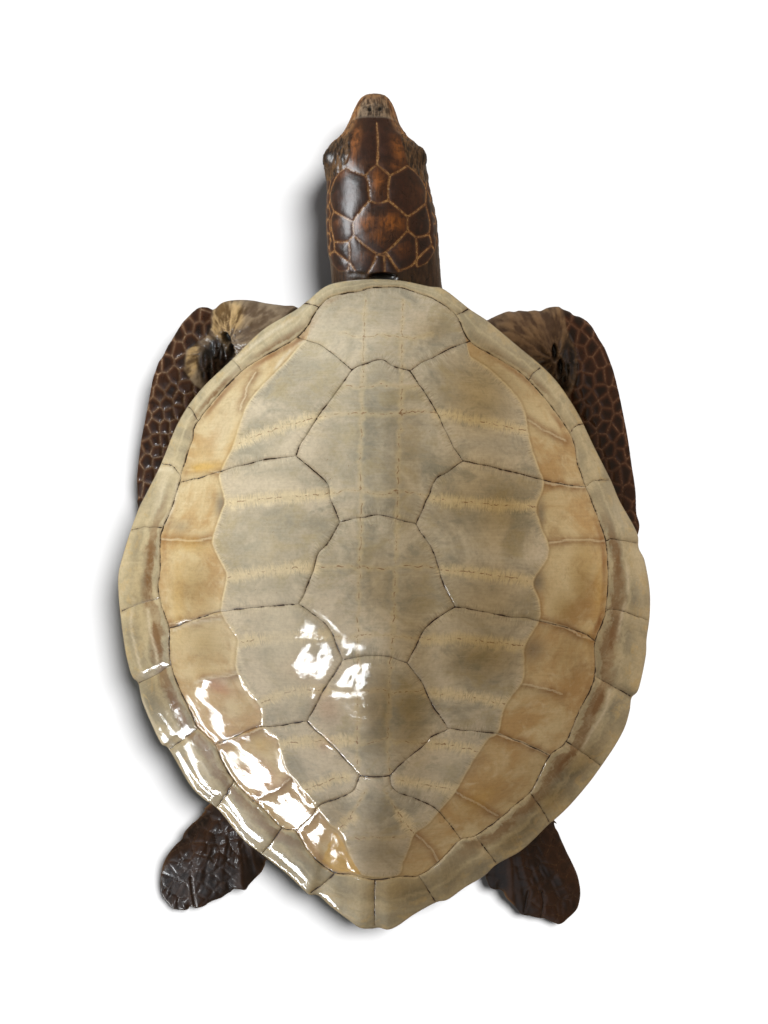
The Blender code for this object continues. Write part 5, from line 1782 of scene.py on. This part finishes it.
# Each hind flipper's centre of folds, and its claw and folds as lines, in pixels.
HIND = {
    "left": {
        "side": -1, "rows": sections(HIND_LEFT, HIND_LEVELS), "edge": HIND_LEFT_EDGE, "centre": (237, 780),
        "claws": [[(172.5, 905), (171.2, 893), (173.2, 883), (181, 880), (187.6, 884), (189.4, 895),
                   (189.8, 903)], [(191.8, 876), (193.2, 890), (195.4, 904)]],
    },
    "right": {
        "side": 1, "rows": sections(HIND_RIGHT, HIND_LEVELS), "edge": HIND_RIGHT_EDGE, "centre": (508, 790),
        "claws": [[(563, 917), (560.5, 905), (562.5, 896), (570, 893), (576.5, 897), (578, 907), (576, 916)],
                  [(528, 890), (526, 900), (524, 911)], [(541, 890), (542.5, 902), (541, 915)]],
    },
}


def hind_flipper(word, side, rows, edge, centre, claws, look):
    slab = Limb(rows, edge, 3)
    drawn = [curve(onto(line, slab.level), 0.0011) for line in claws]
    fold_lines = Lines(drawn[1:])

    def mask(plan):
        return 0.6 * eased((side * plan[:, 0] - 0.122 + 0.4 * (plan[:, 1] + 0.345)) / 0.02)

    def painted(plan, gap):
        angle, reach = toward(plan, centre, slab.level)
        ray = np.column_stack([np.cos(angle), np.sin(angle), reach * 2.2])
        fold = 0.8 * rough(ray, 6, 3) + 0.3 * rough(ray, 14, 2, 4.0)
        rearward = eased((reach - 0.035) / 0.04)
        relief = (0.6 + 1.4 * rearward) * fold - 1.8 * bell(fold_lines.distance(plan) / MM, 1.2)
        relief = relief + 1.5 * rough(plan, 32, 2, 2.0) + 0.2 * rough(plan, 120, 2, 6.0)
        # A golden-brown band along the edge, painted as a glint on the rounded edge, and painted shade in the
        # deepest troughs of the folds.
        rim = bell(gap, 1.6) * eased(rough(plan, 30, 2, 8.0) * 2 + 0.6)
        return {"gold": rim, "dark": 0.55 * bell(fold + 0.7, 0.5), "hole": 0 * gap, "fold": fold}, relief

    limb(f"hind_flipper_skin_{word}", slab, 0.0012, 41 + side, look, f"hind_flipper_{word}",
         lambda plan: np.full(len(plan), 0.0092), mask, painted, drawn)


def hind_flippers():
    look = skin_look("hind_skin", ("#140B06", "#2A180E"), "#3C2212", ("#2A180D", "#5E442C"),
                     ("#1A0E08", "#402816", "#2A180E", "#3E2A14", "#7A5830"), 0.5, 0.15)
    for word, facts in HIND.items():
        hind_flipper(word, look=look, **facts)


def tail():
    look = skin_look("tail_skin", ("#1C110B", "#332014"), "#45260F", ("#4E3420", "#7E5E40"),
                     ("#2C1D13", "#4E3A2A", "#3A281B", "#3E2A14", "#6E5028"))
    slab = Limb(sections(TAIL, TAIL_LEVELS), None, len(TAIL))

    def mask(plan):
        return eased((-0.27 - plan[:, 1]) / 0.01)

    def painted(plan, gap):
        fold = rough(plan * (1.0, 0.3), 160, 3)
        return {"gold": 0 * gap, "dark": 0 * gap, "hole": 0 * gap, "fold": fold}, 0.5 * fold

    limb("tail_skin", slab, 0.0014, 51, look, "tail", lambda plan: np.full(len(plan), 0.0062), mask, painted)


# The dried skin that closes the shell's openings beside the limbs: centre, radii and turn.
PADS = {"shoulder": ((0.130, 0.066, 0.046), (0.030, 0.100, 0.032), 30, "front_flipper"),
        "thigh": ((0.110, -0.230, 0.041), (0.066, 0.030, 0.022), 50, "hind_flipper")}


def pads():
    look = skin_look("pad_skin", ("#2A1A10", "#3E281A"), "#4C2E18", ("#4E3420", "#7E5E40"),
                     ("#2E2016", "#5A4636", "#443226", "#3E2A14", "#6E5028"))
    a, t, faces = ball(60, 110)
    unit = np.stack([np.sin(a) * np.cos(t), np.sin(a) * np.sin(t), np.cos(a)], axis=-1).reshape(-1, 3)
    unit = np.vstack([unit, (0, 0, 1), (0, 0, -1)])
    for word, (centre, radii, degrees, replaced) in PADS.items():
        for name, side in (("left", -1), ("right", 1)):
            angle = math.radians(side * degrees)
            c, s = math.cos(angle), math.sin(angle)
            spread = unit * radii
            places = np.column_stack([spread[:, 0] * c - spread[:, 1] * s, spread[:, 0] * s + spread[:, 1] * c,
                                      spread[:, 2]]) + (side * centre[0], centre[1], centre[2])
            fold = rough(places * (1.0, 0.35, 1.0), 110, 4, side * 3.0)
            outward = normals(places, turned_out(places, faces))
            places = places + outward * (fold * 0.0011)[:, None]
            flat = np.zeros(len(fold))
            fields = dict.fromkeys(("tone", "scaled", "gold", "dark", "hole"), flat)
            fields.update(seam=flat + 20, fold=fold)
            add_mesh(f"{word}_skin_{name}", places, [turned_out(places, faces)], look,
                     f"{replaced}_{name}", fields)


# ---------------------------------------------------------------- the plastron

PLASTRON_BONE, PLASTRON_FLAT, PLASTRON_LIFT, BRIDGE_CURVE = 0.006, 0.50, 0.010, 1.6
PLASTRON_CENTRE, PLASTRON_BOX = (0.0, -0.100), ((-0.216, -0.342), (0.216, 0.170))
BRIDGE_MIDDLE, BRIDGE_REACH, BRIDGE_BLEND = -0.098, 0.075, 0.045
PLASTRON_HALF = [
    (0.000, 0.166), (0.045, 0.160), (0.080, 0.135), (0.098, 0.090), (0.112, 0.045), (0.140, 0.005),
    (0.176, -0.025), (0.2095, -0.060), (0.2130, -0.095), (0.2090, -0.135), (0.180, -0.178), (0.130, -0.208),
    (0.094, -0.245), (0.077, -0.290), (0.045, -0.325), (0.000, -0.338),
]
PLASTRON_MIDLINE = [(0, 0.160), (0.0012, 0.05), (-0.001, -0.1), (0.001, -0.332)]
# Seams of the plastron's right half: the plates, the row beside the bridge and the marginals' inner ends.
PLASTRON_SEAMS = [
    [(0, 0.118), (0.026, 0.121), (0.055, 0.132), (0.078, 0.137)], [(0, 0.052), (0.034, 0.058), (0.104, 0.071)],
    [(0, -0.034), (0.05, -0.028), (0.117, 0.010)], [(0, -0.132), (0.06, -0.134), (0.126, -0.118)],
    [(0, -0.216), (0.045, -0.222), (0.105, -0.212)], [(0, -0.286), (0.03, -0.283), (0.076, -0.289)],
    [(0.112, 0.045), (0.117, 0.010), (0.125, -0.050), (0.128, -0.090), (0.126, -0.140), (0.105, -0.212)],
    [(0.150, -0.003), (0.170, -0.035), (0.182, -0.065), (0.185, -0.095), (0.181, -0.130), (0.158, -0.190)],
    [(0.120, -0.018), (0.150, -0.003)], [(0.127, -0.066), (0.182, -0.062)], [(0.128, -0.112), (0.184, -0.104)],
    [(0.121, -0.162), (0.172, -0.152)], [(0.182, -0.062), (0.2095, -0.060)],
    [(0.184, -0.104), (0.2125, -0.106)], [(0.172, -0.152), (0.199, -0.152)],
]


def plastron_look():
    look = Look("plastron_bone", Coat_Weight=0.6, Coat_Roughness=0.12)
    mix, span, times, plus = look.mix, look.span, look.times, look.plus
    seam, tone = look.field("seam"), look.field("tone")
    broad = look.noise(14, 5, 0.6, 0.5)
    middling = look.noise(60, 5, 0.6, 0.6)
    fine = look.noise(300, 4, 0.6, 0.3)
    streaks = look.noise(1.0, 4, 0.6, 0.4, place=look.stretched(look.object_place, (70, 16, 40)))
    colour = mix(span(broad, 0.35, 0.7), "#BFA978", "#A98C56")
    colour = mix(span(streaks, 0.42, 0.72, 0.0, 0.55), colour, "#CDBB90")
    colour = mix(span(plus(middling, times(tone, 0.15)), 0.52, 0.8, 0.0, 0.6), colour, "#8A6A3C")
    reach = plus(seam, times(plus(middling, -0.5), 3.0))
    colour = mix(span(reach, 0.6, 4.5, 0.6, 0.0), colour, "#7C5A30")
    crack = span(plus(seam, times(fine, 0.3)), 0.25, 0.65, 1.0, 0.0)
    colour = mix(times(crack, 0.9), colour, "#33231A")
    colour = mix(span(fine, 0.62, 0.75, 0.0, 0.3), colour, "#6E5230")
    roughness = span(middling, 0.3, 0.7, 0.3, 0.5)
    return look.finish(colour, roughness, [(broad, 0.002), (streaks, 0.0005), (fine, 0.0002)])


def plastron():
    rng = np.random.default_rng(61)
    right = np.array(PLASTRON_HALF)
    left = right[1:-1][::-1] * (-1, 1)
    outline = curve(np.vstack([right, left]), 0.002, closed=True)
    seams = [ragged(curve(PLASTRON_MIDLINE, 0.0016), 0.0004, 0.006, rng)]
    for seam in PLASTRON_SEAMS:
        for side in (1, -1):
            line = curve(np.array(seam) * (side, 1), 0.0016)
            seams.append(ragged(line, 0.0006, 0.006, rng))
    seam_lines, edge = Lines(seams), Lines([outline])
    free = grid(*PLASTRON_BOX, 0.0026, rng)
    free = free[inside(free, outline)]
    free = free[(edge.distance(free) > 0.003) & (seam_lines.distance(free) > 0.0016)]
    near = np.vstack([beside(line, 0.0009) for line in seams])
    near = near[inside(near, outline)]
    near = near[(seam_lines.distance(near) > 0.0007) & (edge.distance(near) > 0.0015)]
    bands = np.vstack([beside(outline, inset) for inset in (0.0008, 0.002)])
    bands = bands[inside(bands, outline)]
    marks = [line[(edge.distance(line) > 0.001) & inside(line, outline)] for line in seams]
    plan, faces = triangulated(np.vstack([free, near, bands]), [outline] + marks)
    places, faces, inner, edge_gap = two_sided(plan, faces, outline, edge)
    plan = places[:, :2]

    away = plan - PLASTRON_CENTRE
    radii = by_turn(outline, PLASTRON_CENTRE)
    angle = np.arctan2(away[:, 1], away[:, 0])
    reach = around(radii, angle)
    share = np.hypot(away[:, 0], away[:, 1]) / reach
    rim_place = PLASTRON_CENTRE + np.column_stack([np.cos(angle), np.sin(angle)]) * reach[:, None]
    out = rim_place - DOME_TOP[:2]
    marginal = around(RIM_LEVEL, np.arctan2(out[:, 1], out[:, 0])) - RIM_EDGE - LIP_DROP
    bridge = eased((BRIDGE_REACH - np.abs(rim_place[:, 1] - BRIDGE_MIDDLE)) / BRIDGE_BLEND)
    level = PLASTRON_LIFT + (marginal - PLASTRON_LIFT) * bridge
    under = level * (np.maximum(share - PLASTRON_FLAT, 0) / (1 - PLASTRON_FLAT)) ** BRIDGE_CURVE
    round_edge = PLASTRON_BONE / 2 * np.sqrt(np.maximum(1 - (1 - np.minimum(edge_gap / 0.0025, 1)) ** 2, 0))
    upper = np.arange(len(places)) < inner
    gap = np.clip(seam_lines.distance(plan) / MM, 0, 20)
    groove = 0.55 * bell(gap, 0.7) + 0.3 * bell(gap, 3.5) + 0.25 * np.abs(rough(plan, 35, 3))
    height = under + PLASTRON_BONE / 2 + np.where(upper, round_edge, -round_edge + groove * MM)
    tone = rough(plan, 9, 2, 3.0)
    add_mesh("plastron_bone", np.column_stack([plan, height]), [faces], plastron_look(),
             "plastron", {"seam": gap, "tone": tone})


# ---------------------------------------------------------------- stage, light and camera

FLOOR, FLOOR_LEVEL, FLOOR_COLOUR = 6.0, -0.0004, "#A2B1C6"


def aimed(name, kind, direction):
    """A light that shines along a direction, unseen by the camera."""
    light = bpy.data.objects.new(name, bpy.data.lights.new(name, kind))
    light.rotation_euler = Vector(direction).to_track_quat("-Z", "Y").to_euler()
    light.visible_camera = False
    bpy.context.scene.collection.objects.link(light)
    return light


def stage():
    floor = bpy.data.meshes.new("floor")
    corners = [(-FLOOR, -FLOOR), (FLOOR, -FLOOR), (FLOOR, FLOOR), (-FLOOR, FLOOR)]
    floor.from_pydata([(*corner, FLOOR_LEVEL) for corner in corners], [], [(0, 1, 2, 3)])
    floor.materials.append(Look("studio_floor", Roughness=0.9).finish(shade(FLOOR_COLOUR)))
    piece = bpy.data.objects.new("studio_floor", floor)
    bpy.context.scene.collection.objects.link(piece)
    piece.visible_shadow = piece.visible_diffuse = piece.visible_glossy = False
    bpy.context.scene.view_settings.view_transform = "Standard"
    sky()

    on_floor = lit_set("on_floor", [piece])
    off_floor = lit_set("off_floor", [piece], "EXCLUDE")
    on_head = lit_set("on_head", [bpy.data.objects[name] for name in ("scaled_head", "eye_left", "eye_right")])
    on_shell = lit_set("on_shell", [bpy.data.objects[name] for name in MIRRORING])
    for name, (direction, degrees, power, colour) in DAYLIGHT.items():
        sun = aimed(name, "SUN", -Vector(direction))
        sun.data.angle, sun.data.energy, sun.data.color = math.radians(degrees), power, colour
        sun.visible_glossy = False
        sun.light_linking.receiver_collection = on_floor if name.startswith("floor") else off_floor
    for name, place, target, size, power in WINDOWS:
        window = aimed(name, "AREA", Vector(target) - Vector(place))
        window.location = place
        window.data.shape = "RECTANGLE"
        window.data.size, window.data.size_y = size
        window.data.energy, window.data.color = power, WINDOW_COLOUR
        window.visible_diffuse = False
        window.light_linking.receiver_collection = on_head if name.startswith("head") else on_shell


def lit_set(name, objects, state="INCLUDE"):
    """The objects that a light reaches, or leaves out."""
    found = bpy.data.collections.new(name)
    for k, thing in enumerate(objects):
        found.objects.link(thing)
        found.collection_objects[k].light_linking.link_state = state
    return found


# Soft daylight from wide parts of the sky: the direction it comes from, its width in degrees, power and colour.
DAYLIGHT = {
    "left_sky": ((-0.94, 0.24, 0.26), 95, 3.5, (1.0, 0.92, 0.79)),
    "front_sky": ((-0.30, 0.94, 0.12), 95, 1.35, (0.62, 0.82, 1.0)),
    "right_sky": ((0.94, 0.32, 0.04), 70, 1.9, (1.0, 0.81, 0.60)),
    "floor_sun": ((0.36, 0.34, 1.0), 25, 9.8, (1.0, 0.82, 0.64)),
}
# Windows that the lacquer mirrors: name, place, target, size and power.
WINDOWS = [
    ("window_high", (-0.688, -1.281, 1.431), (-0.05, -0.13, 0.16), (0.12, 0.38), 4.4),
    ("window_low", (-1.45, -1.75, 0.115), (-0.14, -0.24, 0.08), (1.20, 0.158), 22.5),
    ("head_window", (-0.95, 0.35, 0.85), (-0.03, 0.27, 0.1), (0.85, 0.62), 16.0),
]
WINDOW_COLOUR = (0.93, 0.97, 1.0)
MIRRORING = ("bone_carapace", "front_flipper_skin_left", "hind_flipper_skin_left")
AMBIENT, SHEEN = (0.22, 0.18, 0.14), (0.5, 0.52, 0.55)


def sky():
    """A dim warm room with a pale patch that gives the gloss a soft sheen, and a pale ground to look at."""
    world = bpy.data.worlds.new("studio")
    bpy.context.scene.world = world
    world.use_nodes = True
    nodes, links = world.node_tree.nodes, world.node_tree.links

    def mixed(share, a, b):
        node = nodes.new("ShaderNodeMix")
        node.data_type = "RGBA"
        links.new(share, node.inputs[0])
        for socket, given in ((node.inputs[6], a), (node.inputs[7], b)):
            if isinstance(given, tuple):
                socket.default_value = (*given, 1.0)
            else:
                links.new(given, socket)
        return node.outputs[2]

    toward = nodes.new("ShaderNodeVectorMath")
    toward.operation = "DOT_PRODUCT"
    toward.inputs[1].default_value = (-0.45, -0.70, 0.55)
    links.new(nodes.new("ShaderNodeTexCoord").outputs["Generated"], toward.inputs[0])
    patch = nodes.new("ShaderNodeMapRange")
    patch.interpolation_type = "SMOOTHSTEP"
    for socket, value in zip(("From Min", "From Max", "To Min", "To Max"), (0.70, 0.98, 0.0, 1.0)):
        patch.inputs[socket].default_value = value
    links.new(toward.outputs["Value"], patch.inputs["Value"])
    path = nodes.new("ShaderNodeLightPath").outputs
    mirrored = mixed(patch.outputs[0], AMBIENT, SHEEN)
    lit = mixed(path["Is Glossy Ray"], AMBIENT, mirrored)
    links.new(mixed(path["Is Camera Ray"], lit, (0.93, 0.93, 0.93)), nodes["Background"].inputs["Color"])


def camera():
    data = bpy.data.cameras.new("camera")
    data.sensor_fit = "VERTICAL"
    data.sensor_height = SENSOR
    data.lens = FOCAL_PIXELS / IMAGE_SIZE[1] * SENSOR
    eye = bpy.data.objects.new("camera", data)
    eye.location = (CAMERA_X, 0.0, CAMERA_HEIGHT)
    eye.rotation_euler = (0.0, 0.0, CAMERA_ROLL)
    bpy.context.scene.collection.objects.link(eye)
    bpy.context.scene.camera = eye


carapace()
head()
eyes()
for word, facts in FRONT.items():
    front_flipper(word, **facts)
hind_flippers()
tail()
pads()
plastron()
stage()
camera()
